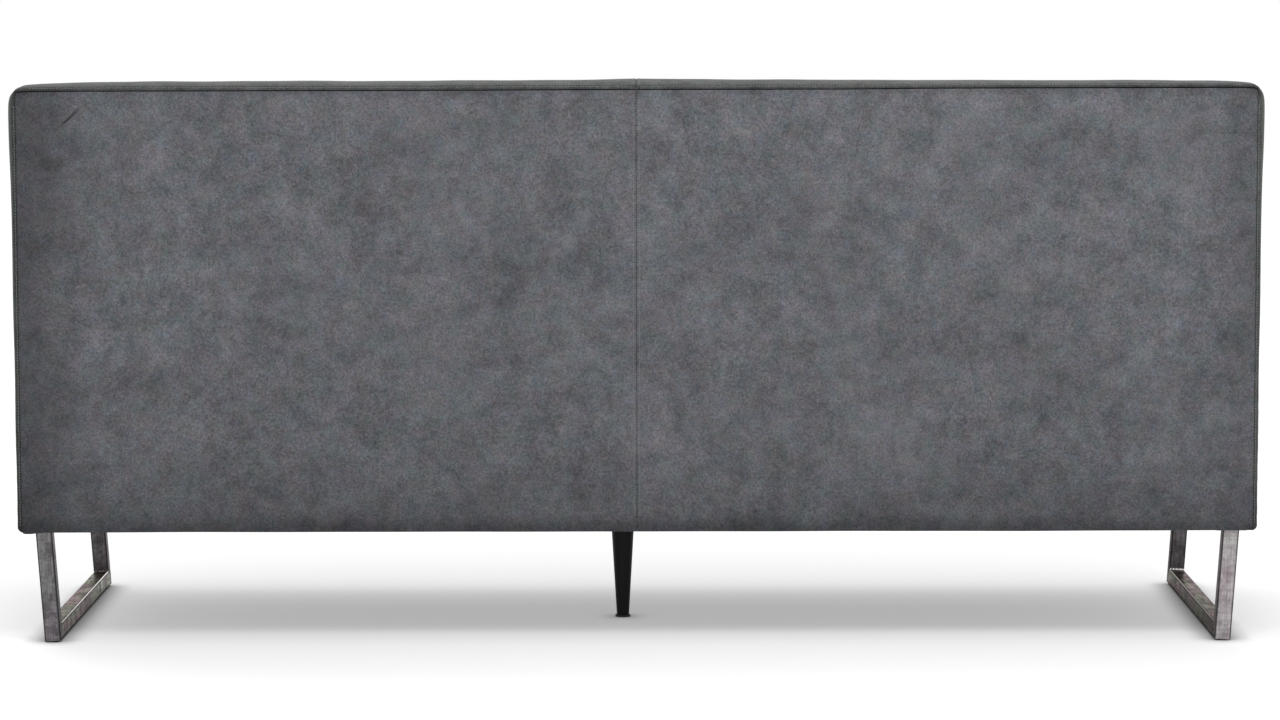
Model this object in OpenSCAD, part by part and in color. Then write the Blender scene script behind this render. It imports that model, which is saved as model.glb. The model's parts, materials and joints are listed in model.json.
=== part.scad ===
// Upholstered dining bench with a full-height straight back, two steel sled frames and a centre leg.
// Millimetres. X runs along the bench, Y from front to rear, Z up; the origin is on the floor
// under the middle. Left and right are those of someone who looks at the front of the bench.

/* [Overall] */
// Width between the two side seams
panel_w = 1880; // [1500:10:2200]
// Height of the top seam of the back
seam_h = 847; // [800:1:900]
// Depth over the seat border and the rear cover
depth = 660; // [620:5:720]
// Clear height under the body
leg_h = 172.5; // [150:0.5:220]
// Height of the seam round the seat
seat_h = 478; // [460:1:500]
// Depth of the top band of the back
top_depth = 130; // [110:1:150]
// Depth of the back where it meets the seat
crease_depth = 188; // [170:1:210]
// Gap between the seat cushions and the back
crevice = 7; // [4:0.5:9]

/* [Covers] */
// Thickness of the cover cloth with its backing
cover_t = 2; // [1.5:0.1:3]
// Swell of the top band over its seams
top_puff = 13; // [6:0.5:18]
// Swell of the side bands at the top of the back
side_puff = 15; // [8:0.5:18]
// Swell of the side bands at their foot
side_puff_low = 9; // [4:0.5:12]
// Swell of the inside back between its seams
back_puff = 14; // [6:0.5:20]
// Crown of each half of the seat
seat_crown = 16; // [8:0.5:24]
// Swell of the seat border
border_puff = 8; // [4:0.5:12]
// How far the seams of a cushion pull in between its corners
draw_in = 3; // [1:0.5:5]
// Corner radius of a cushion seen from above
pad_corner_r = 14; // [8:1:24]
// Corner radius of the rear cover
panel_corner_r = 5; // [2:0.5:10]
// Width of the hem under the front and rear rails
hem_w = 18; // [10:1:19]
// Length of the inside back that is tucked in below the seat seam
tuck = 12; // [8:1:16]
// Thickness of the liner board behind the rear cover
liner_t = 3; // [2:0.5:5]
// Thickness of the dust cover
dust_t = 1; // [0.8:0.1:1.1]

/* [Base frame] */
// Thickness of the rails
rail_t = 25; // [20:1:28]
// Height of the rails
rail_h = 143; // [120:1:150]
// Height of the rail that holds the rear spring clips
spring_rail_h = 90; // [70:1:100]
// Width of the boards that carry the sled plates
board_w = 100; // [90:1:120]
// Thickness of these boards
board_t = 18; // [15:1:22]
// Width of the centre bearer
bearer_w = 80; // [75:1:110]
// Thickness of the centre bearer
bearer_t = 30; // [25:1:40]
// Leg length of the corner blocks
block_w = 60; // [40:1:80]
// Height of the corner blocks
block_h = 70; // [50:1:85]

/* [Back frame] */
// Thickness of the back foam, measured square to the inside back
pad_t = 56; // [45:1:65]
// Depth of the top rail below the top seam
top_rail_drop = 15; // [12:1:25]
// Thickness of the top rail
top_rail_t = 25; // [20:1:30]
// Height of the lower rails
lower_rail_h = 65; // [50:1:80]
// Distance of the lower rails below the crease
lower_rail_drop = 20; // [15:1:30]
// Radius of the post bolts
post_bolt_r = 4; // [3:0.5:5]
// Straps of webbing on each half of the back
web_n = 6; // [4:1:8]
// Width of a strap
web_w = 60; // [40:1:80]
// Thickness of a strap
web_t = 1.5; // [1:0.1:2]

/* [Seat springs] */
// Springs under each half of the seat
spring_n = 6; // [4:1:7]
// Bends of one zigzag spring
bend_n = 18; // [14:2:20]
// Width over one spring
spring_w = 50; // [44:1:60]
// Radius of the spring wire
wire_r = 1.9; // [1.6:0.1:2.1]
// Thickness of the clip strip
clip_t = 1.2; // [1:0.1:1.5]
// Width of a clip
clip_w = 20; // [16:1:24]
// Length of the clip's foot on the rail
clip_foot = 20; // [16:1:22]
// Radius of the tie wires
tie_r = 1.5; // [1:0.1:2]
// Thickness of the felt over the springs
felt_t = 5; // [3:0.5:8]

/* [Sled frames] */
// Distance of the sled frames from the rear cover
sled_rear_inset = 20; // [19:1:40]
// Distance of the sled frames from the swell of the seat border
sled_front_inset = 40; // [25:1:70]
// Distance from the side seam to the middle of a sled frame at its plate
sled_side_inset = 31; // [30:0.5:36]
// Lean of the sled frames, inwards at the floor
sled_lean = 4; // [0:0.01:5]
// Width of the square tube
tube_w = 25; // [20:1:30]
// Depth of the tube in the plane of the frame
tube_d = 25; // [25:1:40]
// Wall of the tube
tube_wall = 1.5; // [1.5:0.1:3]
// Outside corner radius of the tube
tube_r = 2.1; // [2.1:0.1:4]
// Width of a mounting plate
plate_w = 50; // [46:1:54]
// Thickness of a mounting plate
plate_t = 5; // [4:0.5:6]
// Corner radius of a mounting plate
plate_r = 6; // [3:1:12]
// Distance of the plate bolts from the plate's middle line
bolt_inset = 10; // [9:0.5:12]
// Distance of the inner plate bolts from the middle of the plate
bolt_near = 90; // [60:1:110]
// Distance of the outer plate bolts from the ends of the plate
bolt_end = 75; // [60:1:100]
// Radius of a plate bolt
bolt_r = 3; // [2.5:0.5:4]
// Least thickness of a glide pad
glide_t = 1; // [1:0.1:4]
// Length of a glide pad
glide_l = 40; // [25:1:60]
// Margin of a glide pad inside the tube's width
glide_margin = 4; // [1:0.5:4]

/* [Centre leg] */
// Distance of the centre leg from the middle of the bench, along X
leg_x = 24; // [0:1:27]
// Distance of the centre leg from the middle of the bench, along Y
leg_y = 58; // [0:1:60]
// Diameter of the leg at its plate
leg_top_d = 39; // [30:1:45]
// Diameter of the leg at its tip
leg_tip_d = 19.5; // [14:0.5:22]
// Side of the leg's plate
leg_plate_w = 60; // [56:1:68]
// Thickness of the leg's plate
leg_plate_t = 2.5; // [2:0.5:4]
// Radius of the hanger bolt
hanger_r = 4; // [3:0.5:5]
// Length of the hanger bolt on each side of the plate
hanger_l = 24; // [18:1:24]
// Diameter of the glide disc
disc_d = 24; // [20:1:30]
// Thickness of the glide disc
disc_t = 3; // [2:0.5:5]
// Radius of the glide's stud
stud_r = 3; // [2.5:0.5:3.5]
// Travel of the glide when it is screwed out, with its stud still held over the whole insert
glide_travel = 10; // [6:1:12]

/* [Hidden] */
$fn = 48;

// Clearance between a soft piece and its neighbours
soft_gap = 0.3;
// Clearance round a bolt or a screw
bolt_gap = 0.1;
// Gap in the centre seam between two panels
seam_gap = 0.6;
// Overrun of every cut past the face that it opens
over = 5;

// Planes of the cover seams and of the wooden frame behind them
half_w = panel_w / 2;
rear_y = depth / 2;
front_y = border_puff - depth / 2;
frame_x = half_w - cover_t - soft_gap;
liner_y = rear_y - cover_t - soft_gap - liner_t;
frame_front = front_y + cover_t + soft_gap;
frame_z = leg_h + cover_t + soft_gap;
rail_top = frame_z + rail_h;
rail_in_x = frame_x - rail_t;
board_top = frame_z + board_t;
plate_z = frame_z - plate_t;

// Reclined front of the back: crease_y on the seat seam, top_front_y on the top seam
crease_y = rear_y - crease_depth;
top_front_y = rear_y - top_depth;
recline = atan((top_front_y - crease_y) / (seam_h - seat_h));
function back_front(z) = crease_y + max(z - seat_h, 0) * tan(recline);
function post_front(z) = crease_y + pad_t / cos(recline) + (z - seat_h) * tan(recline);

// Wooden frame of the back
top_rail_top = seam_h - top_rail_drop;
post_top = top_rail_top - top_rail_t;
spring_rail_y = crease_y;
// The foot of a post clears the spring rail
post_foot_y = max(post_front(rail_top), spring_rail_y + rail_t + soft_gap);
bearer_top = frame_z + bearer_t;

// Cover panels stop short of the panel that they are sewn to
inset = cover_t + soft_gap;

// Springs, from the middle of the front rail to the middle of the spring rail
spring_front = frame_front + rail_t / 2;
spring_rear = spring_rail_y + rail_t / 2;
wire_gap = 0.2;
wire_z = rail_top + clip_t + wire_gap + wire_r;
// Distance between two bars, on a whole number of microns
micron = 0.001;
bar_step = floor((spring_rear - spring_front) / bend_n / micron) * micron;
bar_l = spring_w - 2 * wire_r - bar_step;
spring_step = rail_in_x / spring_n;
felt_z = wire_z + wire_r + soft_gap;
foam_z = felt_z + felt_t + soft_gap;

// Seat cushions
pad_z = rail_top + soft_gap;
pad_rear = crease_y - crevice;
border_h = seat_h - pad_z;
// Heights of the rings of the border over its lower edge, and how much of its swell each has
border_level_share = [0.2, 0.5, 0.8];
border_swell_share = [0.7, 1, 0.7];
// Sizes of the rings of the crown, each as a share of the seam's size
crown_ring_share = [1, 0.96, 0.86, 0.66, 0.36];
crown_power = 3;
ring_steps = 4;

// Stations across and along a swollen panel, as shares of its size
across_share = [0, 0.06, 0.2, 0.5, 0.8, 0.94, 1];
along_share = [0, 0.04, 0.14, 0.32, 0.5, 0.68, 0.86, 0.96, 1];
top_along_share = [0, 0.3, 0.6, 0.78, 0.88, 0.94, 0.98, 1];
side_along_share = [0, 0.01, 0.03, 0.12, 0.3, 0.5, 0.7, 0.88, 0.97, 0.99, 1];
swell_power = 4;
end_power = 12;
side_end_power = 48;

// Sled frames
sled_l = depth - sled_rear_inset - sled_front_inset;
sled_mid_y = rear_y - sled_rear_inset - sled_l / 2;
sled_top_x = half_w - sled_side_inset;
sled_foot_z = glide_t + tube_w / 2 * sin(sled_lean);
sled_foot_x = sled_top_x - (plate_z - sled_foot_z) * tan(sled_lean);
glide_inset = tube_d;
bolt_head_r = 1.85 * bolt_r;
bolt_head_h = 1.2 * bolt_r;
t_nut_flange_r = 3.1 * bolt_r;
t_nut_flange_t = bolt_r / 2;
t_nut_barrel_r = 1.4 * bolt_r;
t_nut_barrel_l = 3.4 * bolt_r;
bolt_x = sled_top_x - bolt_inset;
bolt_far = sled_l / 2 - bolt_end;
bolt_places = [for (y = [-bolt_far, -bolt_near, bolt_near, bolt_far]) sled_mid_y + y];

// Centre leg
leg_plate_z = frame_z - leg_plate_t;
leg_foot_z = disc_t + soft_gap;
leg_length = leg_plate_z - leg_foot_z;
insert_r = 1.5 * stud_r;
insert_l = 4.5 * stud_r;
stud_l = insert_l + glide_travel;
hub_r = 1.6 * hanger_r;
hub_h = 2.5 * hanger_r;
leg_screw_r = leg_plate_t * 0.8;
leg_screw_l = bearer_t * 0.7;
leg_screw_offset = leg_plate_w * 0.36;

// Post bolts
post_bolt_head_r = 2.2 * post_bolt_r;
post_bolt_head_t = 0.9 * post_bolt_r;
post_bolt_y = (post_foot_y + liner_y - rail_t) / 2;
post_bolt_places = [for (share = [0.3, 0.75]) board_top + (rail_top - board_top) * share];

fabric = "dimgray";
pine = "burlywood";
steel = "darkgray";
zinc = "silver";
foam = "khaki";

// Transforms

// Draws the children at the right and mirrors them to the left
module right_side() children();
module left_side() mirror([1, 0, 0]) children();

// Turns a drawing in Y and Z so that its third axis points to the right
module on_side(x) translate([x, 0, 0]) rotate([90, 0, 90]) children();

// Frame of the inside back: X along the bench, Y up the slope, Z out of the front
module on_inside_back(depth_in = 0)
  translate([0, crease_y, seat_h]) rotate([-recline, 0, 0]) translate([0, depth_in, 0])
    rotate([90, 0, 0]) children();

// Frame of the right sled: its origin is under the middle of the runner
module in_sled() translate([sled_foot_x, sled_mid_y, sled_foot_z]) rotate([0, sled_lean, 0]) children();

// A block between two opposite corners
module block(low, high) translate(low) cube(high - low);

// A rectangle round the origin with exact round corners
module rounded_rect(w, d, r) {
  square([w - 2 * r, d], center = true);
  square([w, d - 2 * r], center = true);
  for (x = [-1, 1], y = [-1, 1]) translate([x * (w / 2 - r), y * (d / 2 - r)]) circle(r);
}

// A closed skin through rings of points, all with the same number of points, with a centre at each end.
// The rings before the turn are an inner skin, cut along the diagonals that match those of the outer one
module loft(rings, first, last, turn = 0) {
  n = len(rings[0]);
  m = len(rings);
  points = [first, for (ring = rings) each ring, last];
  polyhedron(points, [
    for (i = [0 : n - 1]) [0, 1 + i, 1 + (i + 1) % n],
    for (j = [0 : m - 2], i = [0 : n - 1])
      let (a = 1 + j * n + i, b = 1 + j * n + (i + 1) % n)
      each j < turn ? [[a, a + n, b], [b, a + n, b + n]] : [[a, a + n, b + n], [a, b + n, b]],
    for (i = [0 : n - 1]) let (k = 1 + (m - 1) * n) [m * n + 1, k + (i + 1) % n, k + i]
  ]);
}

// A slab over a grid of stations: place gives a station's point, top and bottom its two heights
module slab(us, vs, place, top, bottom) {
  n = len(us);
  m = len(vs);
  grid = [for (v = vs, u = us) place(u, v)];
  points = [for (p = grid) [p.x, p.y, bottom(p)], for (p = grid) [p.x, p.y, top(p)]];
  k = n * m;
  rim = [for (i = [0 : n - 2]) i, for (j = [0 : m - 2]) j * n + n - 1,
         for (i = [0 : n - 2]) m * n - 1 - i, for (j = [0 : m - 2]) (m - 1 - j) * n];
  polyhedron(points, [
    for (j = [0 : m - 2], i = [0 : n - 2])
      let (a = j * n + i, b = a + n)
      each [[a, a + 1, b + 1], [a, b + 1, b],
            [k + a, k + b + 1, k + a + 1], [k + a, k + b, k + b + 1]],
    for (i = [0 : len(rim) - 1])
      let (a = rim[i], b = rim[(i + 1) % len(rim)])
      each [[a, k + a, k + b], [a, k + b, b]]
  ]);
}

// Fullness between two edges: none on each edge, one in the middle
function fullness(value, low, high, power) = 1 - pow(abs(2 * value - low - high) / (high - low), power);

// Sled frames

module tube(length) linear_extrude(length) difference() {
  rounded_rect(tube_w, tube_d, tube_r);
  rounded_rect(tube_w - 2 * tube_wall, tube_d - 2 * tube_wall, tube_r - tube_wall);
}

// The half space on one side of the mitre at the rear end of the runner
module beyond_mitre(side) translate([0, sled_l / 2, 0]) rotate([45, 0, 0])
  translate([0, side * sled_l, 0]) cube([2 * tube_w, 2 * sled_l, 2 * sled_l], center = true);

module runner() color(steel) in_sled() difference() {
  translate([0, -sled_l / 2, tube_d / 2]) rotate([-90, 0, 0]) tube(sled_l);
  beyond_mitre(1);
  mirror([0, 1, 0]) beyond_mitre(1);
}

// An upright ends in the mitre below and level under the mounting plate above
module upright(side) color(steel) difference() {
  in_sled() mirror([0, side < 0 ? 1 : 0, 0]) difference() {
    translate([0, sled_l / 2 - tube_d / 2, 0]) tube(leg_h + over);
    beyond_mitre(-1);
  }
  translate([sled_top_x, sled_mid_y, plate_z + leg_h / 2]) cube([2 * plate_w, 2 * sled_l, leg_h], center = true);
}

module mounting_plate() color(steel) difference() {
  translate([sled_top_x, sled_mid_y, plate_z]) linear_extrude(plate_t) rounded_rect(plate_w, sled_l, plate_r);
  for (y = bolt_places) translate([bolt_x, y, plate_z - over])
    cylinder(r = bolt_r + bolt_gap, h = plate_t + 2 * over);
}

// The pads fill the wedge between the leaning runner and the floor
module glide_pads() color("dimgray") for (side = [0, 1]) mirror([side, 0, 0]) intersection() {
  in_sled() for (end = [-1, 1])
    translate([0, end * (sled_l / 2 - glide_inset - glide_l / 2), -tube_w / 2])
      cube([tube_w - 2 * glide_margin, glide_l, tube_w], center = true);
  translate([sled_foot_x, sled_mid_y, tube_w / 2]) cube([3 * tube_w, sled_l, tube_w], center = true);
}

module plate_bolts() color(zinc) for (side = [0, 1], y = bolt_places) mirror([side, 0, 0])
  translate([bolt_x, y, plate_z]) difference() {
    union() {
      translate([0, 0, -bolt_head_h]) cylinder(r = bolt_head_r, h = bolt_head_h);
      cylinder(r = bolt_r, h = plate_t + board_t + t_nut_flange_t);
    }
    translate([0, 0, -bolt_head_h - over]) cylinder(r = bolt_head_r / 2, h = bolt_head_h / 2 + over, $fn = 6);
  }

module t_nuts() color(zinc) for (side = [0, 1], y = bolt_places) mirror([side, 0, 0])
  translate([bolt_x, y, board_top]) difference() {
    union() {
      cylinder(r = t_nut_flange_r, h = t_nut_flange_t);
      translate([0, 0, -t_nut_barrel_l]) cylinder(r = t_nut_barrel_r, h = t_nut_barrel_l);
    }
    translate([0, 0, -t_nut_barrel_l - over])
      cylinder(r = bolt_r + bolt_gap / 2, h = t_nut_barrel_l + t_nut_flange_t + 2 * over);
  }

// Centre leg

module at_leg(z) translate([leg_x, leg_y, z]) children();

module centre_leg() color("#232326") at_leg(leg_foot_z) difference() {
  cylinder(d1 = leg_tip_d, d2 = leg_top_d, h = leg_length);
  translate([0, 0, leg_length - hanger_l]) cylinder(r = hanger_r + bolt_gap / 2, h = hanger_l + over);
  translate([0, 0, -over]) cylinder(r = insert_r + bolt_gap / 2, h = insert_l + over);
  translate([0, 0, -over]) cylinder(r = stud_r + bolt_gap, h = stud_l + over);
}

module centre_leg_plate() color(zinc) at_leg(leg_plate_z) difference() {
  union() {
    linear_extrude(leg_plate_t) rounded_rect(leg_plate_w, leg_plate_w, plate_r);
    cylinder(r = hub_r, h = leg_plate_t + hub_h);
  }
  translate([0, 0, -over]) cylinder(r = hanger_r + bolt_gap / 2, h = leg_plate_t + hub_h + 2 * over);
  for (x = [-1, 1], y = [-1, 1]) translate([x * leg_screw_offset, y * leg_screw_offset, -over])
    cylinder(r = leg_screw_r + bolt_gap, h = leg_plate_t + 2 * over);
}

module centre_leg_screws() color(zinc) for (x = [-1, 1], y = [-1, 1])
  at_leg(leg_plate_z) translate([x * leg_screw_offset, y * leg_screw_offset, 0]) {
    cylinder(r = leg_screw_r, h = leg_screw_l);
    translate([0, 0, -leg_screw_r]) cylinder(r1 = leg_screw_r, r2 = 2 * leg_screw_r, h = leg_screw_r);
  }

module hanger_bolt() color(zinc) at_leg(leg_plate_z - hanger_l) cylinder(r = hanger_r, h = 2 * hanger_l);

module stud_insert() color(zinc) at_leg(leg_foot_z) difference() {
  cylinder(r = insert_r, h = insert_l);
  translate([0, 0, -over]) cylinder(r = stud_r + bolt_gap, h = insert_l + 2 * over);
}

module levelling_glide() color("#1c1c1e") at_leg(0) {
  cylinder(d = disc_d, h = disc_t);
  cylinder(r = stud_r, h = disc_t + stud_l);
}

// Base frame

module base_front_rail() color(pine)
  block([-frame_x, frame_front, frame_z], [frame_x, frame_front + rail_t, rail_top]);

module base_rear_rail() color(pine)
  block([-frame_x, liner_y - rail_t, frame_z], [frame_x, liner_y, rail_top]);

module base_side_rail() color(pine) difference() {
  block([rail_in_x, frame_front + rail_t, board_top], [frame_x, liner_y - rail_t, rail_top]);
  post_bolt_holes();
}

module spring_rail() color(pine)
  block([-rail_in_x, spring_rail_y, rail_top - spring_rail_h], [rail_in_x, spring_rail_y + rail_t, rail_top]);

module centre_bearer() color(pine) difference() {
  block([leg_x - bearer_w / 2, frame_front + rail_t, frame_z],
        [leg_x + bearer_w / 2, liner_y - rail_t, bearer_top]);
  at_leg(frame_z - over) {
    cylinder(r = hanger_r + bolt_gap, h = hanger_l + over);
    cylinder(r = hub_r + bolt_gap, h = hub_h + over);
    for (x = [-1, 1], y = [-1, 1]) translate([x * leg_screw_offset, y * leg_screw_offset, 0])
      cylinder(r = leg_screw_r + bolt_gap, h = leg_screw_l - leg_plate_t + over);
  }
}

module leg_board() color(pine) difference() {
  block([frame_x - board_w, frame_front + rail_t, frame_z], [frame_x, liner_y - rail_t, board_top]);
  for (y = bolt_places) translate([bolt_x, y, frame_z - over])
    cylinder(r = t_nut_barrel_r + bolt_gap, h = board_t + 2 * over);
}

module corner_block() linear_extrude(block_h) polygon([[0, 0], [-block_w, 0], [0, block_w]]);

module corner_blocks() color(pine) for (side = [0, 1]) mirror([side, 0, 0])
  translate([rail_in_x, 0, rail_top - spring_rail_h]) {
    translate([0, frame_front + rail_t, 0]) corner_block();
    translate([0, spring_rail_y, 0]) mirror([0, 1, 0]) corner_block();
  }

// Back frame

module post_bolt_holes() for (z = post_bolt_places) translate([rail_in_x - rail_t - over, post_bolt_y, z])
  rotate([0, 90, 0]) cylinder(r = post_bolt_r + bolt_gap, h = 2 * rail_t + 2 * over);

// A post is notched round the rear rail and cut to the slope of the back
module post_shape(foot) linear_extrude(rail_t) polygon([
  [post_foot_y, foot], [liner_y - rail_t, foot], [liner_y - rail_t, rail_top],
  [liner_y, rail_top], [liner_y, post_top], [post_front(post_top), post_top],
  [post_foot_y, rail_top]
]);

// The foot of a side post is bored over the T-nuts that it stands on
module side_post() color(pine) difference() {
  on_side(rail_in_x - rail_t) post_shape(board_top);
  post_bolt_holes();
  for (y = bolt_places) translate([bolt_x, y, board_top - over])
    cylinder(r = t_nut_flange_r + bolt_gap, h = t_nut_flange_t + bolt_gap + over);
}

module centre_back_post() color(pine) on_side(-rail_t / 2) post_shape(bearer_top);

module back_top_rail() color(pine) on_side(-frame_x) linear_extrude(2 * frame_x) polygon([
  [post_front(post_top), post_top], [liner_y, post_top],
  [liner_y, top_rail_top], [post_front(top_rail_top), top_rail_top]
]);

module back_lower_rails() color(pine) for (side = [0, 1]) mirror([side, 0, 0])
  on_inside_back(pad_t) block([rail_t / 2, -lower_rail_drop - lower_rail_h, -rail_t],
                              [rail_in_x - rail_t, -lower_rail_drop, 0]);

module post_bolts() color(zinc) for (side = [0, 1], z = post_bolt_places) mirror([side, 0, 0])
  translate([rail_in_x - rail_t, post_bolt_y, z]) rotate([0, 90, 0]) {
    translate([0, 0, -post_bolt_head_t]) cylinder(r = post_bolt_head_r, h = post_bolt_head_t);
    cylinder(r = post_bolt_r, h = 2 * rail_t - soft_gap);
  }

web_step = (rail_in_x - rail_t) / web_n;
web_low = -lower_rail_drop - lower_rail_h * 0.8;
web_high = (top_rail_top - seat_h) / cos(recline) - pad_t * tan(recline) - top_rail_t * 0.3;

module back_webbing() color("#3a3a3a") for (side = [0, 1], i = [0 : web_n - 1]) mirror([side, 0, 0])
  on_inside_back(pad_t) block([(i + 0.5) * web_step - web_w / 2, web_low, 0],
                              [(i + 0.5) * web_step + web_w / 2, web_high, web_t]);

// Seat springs

// One zigzag spring: straight bars joined by half rings on alternate sides
module zigzag_spring() {
  for (i = [0 : bend_n]) translate([0, i * bar_step, 0]) rotate([0, 90, 0])
    cylinder(r = wire_r, h = bar_l, center = true);
  for (i = [0 : bend_n - 1]) let (side = i % 2 == 0 ? 1 : -1)
    translate([0, i * bar_step, 0]) translate([side * bar_l / 2, bar_step / 2, 0])
      rotate([0, 0, -side * 90]) rotate_extrude(angle = 180) translate([bar_step / 2, 0]) circle(wire_r);
}

function spring_x(i) = (i + 0.5) * spring_step;

module seat_springs() color(steel) for (i = [0 : spring_n - 1])
  translate([spring_x(i), spring_front, wire_z]) zigzag_spring();

// A clip is a strip nailed to the rail and curled over the last bar of a spring
module clip_shape() {
  curl_r = wire_r + wire_gap + clip_t;
  difference() {
    translate([0, curl_r]) circle(curl_r);
    translate([0, curl_r]) circle(curl_r - clip_t);
    translate([0, clip_t]) square([curl_r + over, curl_r]);
  }
  difference() {
    translate([-clip_foot / 2, 0]) square([clip_foot, clip_t]);
    translate([0, curl_r]) circle(curl_r - clip_t);
  }
}

module spring_clips() color(zinc) for (side = [0, 1], i = [0 : spring_n - 1]) mirror([side, 0, 0]) {
  on_side(spring_x(i) - clip_w / 2) translate([spring_front, rail_top]) linear_extrude(clip_w) clip_shape();
  on_side(spring_x(i) - clip_w / 2) translate([spring_rear, rail_top]) linear_extrude(clip_w)
    mirror([1, 0]) clip_shape();
}

// The tie wires run under one bar of every spring, from the first spring to the last
module spring_tie_wires() color("#b9a98a") for (share = [1 / 3, 2 / 3])
  translate([0, spring_front + round(bend_n * share) * bar_step, wire_z - wire_r - soft_gap - tie_r])
    rotate([0, 90, 0]) cylinder(r = tie_r, h = 2 * spring_x(spring_n - 1) + bar_l, center = true);

module spring_felt() color("#8d8f8a")
  block([-rail_in_x, spring_front + clip_foot / 2 + soft_gap, felt_z],
        [rail_in_x, pad_rear - cover_t, felt_z + felt_t]);

// Seat cushions

// Half the seat as four corners, pulled in by a margin on every side
function seat_corners(margin) = [
  [seam_gap / 2 + margin, front_y + margin], [half_w - margin, front_y + margin],
  [half_w - margin, pad_rear - margin], [seam_gap / 2 + margin, pad_rear - margin]
];
// Sides that swell: front and outer side do, the rear and the centre seam don't
seat_side_swells = [1, 1, 0, 0];

// One ring round a cushion: round corners, and sides that swell out or pull in between them.
// Each side has its own height and swell
function cushion_ring(corners, heights, swells, r) = [
  for (i = [0 : 3])
    let (c = corners[i], before = corners[(i + 3) % 4], after = corners[(i + 1) % 4],
         din = (c - before) / norm(c - before), dout = (after - c) / norm(after - c),
         low = heights[(i + 3) % 4], high = heights[i], arc = c + (dout - din) * r * (1 - sqrt(0.5)))
    each [
      [c.x - din.x * r, c.y - din.y * r, low],
      [arc.x, arc.y, (low + high) / 2],
      [c.x + dout.x * r, c.y + dout.y * r, high],
      for (k = [1 : ring_steps - 1])
        let (t = k / ring_steps, swell = swells[i] * fullness(t, 0, 1, swell_power),
             p = c + (after - c) * t + [dout.y, -dout.x] * swell)
        [p.x, p.y, high]
    ]
];

// Rings of a cushion from its lower edge over the seam to the crown, offset inwards by a margin
function cushion_rings(margin, edge_heights) = let (corners = seat_corners(margin), r = pad_corner_r - margin,
    middle = (corners[0] + corners[2]) / 2) [
  cushion_ring(corners, edge_heights, [0, 0, 0, 0], r),
  for (k = [0 : len(border_level_share) - 1])
    cushion_ring(corners, [1, 1, 1, 1] * (pad_z + border_h * border_level_share[k]),
                 seat_side_swells * border_puff * border_swell_share[k], r),
  for (share = crown_ring_share)
    [for (p = cushion_ring(corners, [0, 0, 0, 0], [1, 1, 1, 1] * -draw_in, r))
      [middle.x + (p.x - middle.x) * share, middle.y + (p.y - middle.y) * share,
       seat_h - margin + seat_crown * (1 - pow(share, crown_power))]]
];

function cushion_top(margin) = let (corners = seat_corners(margin), middle = (corners[0] + corners[2]) / 2)
  [middle.x, middle.y, seat_h - margin + seat_crown];

function reversed(list) = [for (i = [len(list) - 1 : -1 : 0]) list[i]];

// The front and the outer side stand on the rails; the rear and the centre seam end over the springs
seat_edge_heights = [pad_z, pad_z, foam_z, foam_z];

module seat_cover() let (inner = reversed(cushion_rings(cover_t, seat_edge_heights))) color(fabric)
  loft(concat(inner, cushion_rings(0, seat_edge_heights)), cushion_top(cover_t), cushion_top(0), len(inner) - 1);

// The foam fills the cover and lies on the felt
module seat_foam() let (top = cushion_top(inset)) color(foam)
  loft(cushion_rings(inset, [1, 1, 1, 1] * foam_z), [top.x, top.y, foam_z], top);

// Back cushions and bands

// Swell of the inside back over one half, in its own frame
back_high = (seam_h - seat_h) / cos(recline);
back_low = -tuck;
back_swell = function(p) back_puff * fullness(p.x, 0, half_w, 2 * swell_power)
  * fullness(p.y, back_low, back_high, swell_power);

module inside_back() color(fabric) on_inside_back() slab(along_share, across_share,
  function(u, v) [seam_gap / 2 + (half_w - seam_gap / 2) * u, back_low + (back_high - back_low) * v],
  function(p) back_swell(p), function(p) back_swell(p) - cover_t);

// Foam under a swollen cover has this share of its swell, so that it stays clear of the cover
foam_swell_share = 0.88;
foam_margin = inset + soft_gap;

// The foam ends under the top foam, square to its own slope
foam_high = (top_rail_top - seat_h) / cos(recline);
module back_foam() color(foam) on_inside_back() slab(along_share, across_share,
  function(u, v) [seam_gap / 2 + (half_w - inset - seam_gap / 2) * u,
                  back_low + soft_gap + (foam_high - soft_gap * 2 - back_low) * v],
  function(p) back_swell(p) * foam_swell_share - foam_margin, function(p) web_t + soft_gap - pad_t);

// Swell of the top band: full along the bench, falling to the ends
top_low = top_front_y + inset;
top_high = rear_y - inset;
top_swell = function(p) top_puff * fullness(p.x, -half_w, half_w, end_power)
  * fullness(p.y, top_low, top_high, swell_power);

module top_cover() color(fabric) translate([0, 0, seam_h]) slab(top_along_share, across_share,
  function(u, v) [seam_gap / 2 + (half_w - seam_gap / 2) * u, top_low + (top_high - top_low) * v],
  function(p) top_swell(p), function(p) top_swell(p) - cover_t);

module top_foam() color(foam) translate([0, 0, seam_h]) slab(
  concat([for (share = reversed(top_along_share)) -share], [for (share = top_along_share) if (share > 0) share]),
  across_share,
  function(u, v) [(half_w - inset) * u, top_low + inset + (top_high - top_low - inset - liner_t) * v],
  function(p) top_swell(p) * foam_swell_share - foam_margin, function(p) top_rail_top + soft_gap - seam_h);

// Swell of a side band: fuller at the top of the back than at its foot, and full almost to its ends
side_low = leg_h;
side_high = seam_h - inset;
side_swell = function(p)
  (side_puff_low + (side_puff - side_puff_low) * (p.y - side_low) / (side_high - side_low))
  * fullness(p.x, back_front(p.y), rear_y, swell_power)
  * fullness(p.y, side_low, side_high, side_end_power);

module back_side_cover() color(fabric) on_side(half_w) slab(across_share, side_along_share,
  function(u, v) let (z = side_low + (side_high - side_low) * v, low = back_front(z) + inset)
    [low + (rear_y - inset - low) * u, z],
  function(p) side_swell(p), function(p) side_swell(p) - cover_t);

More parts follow.
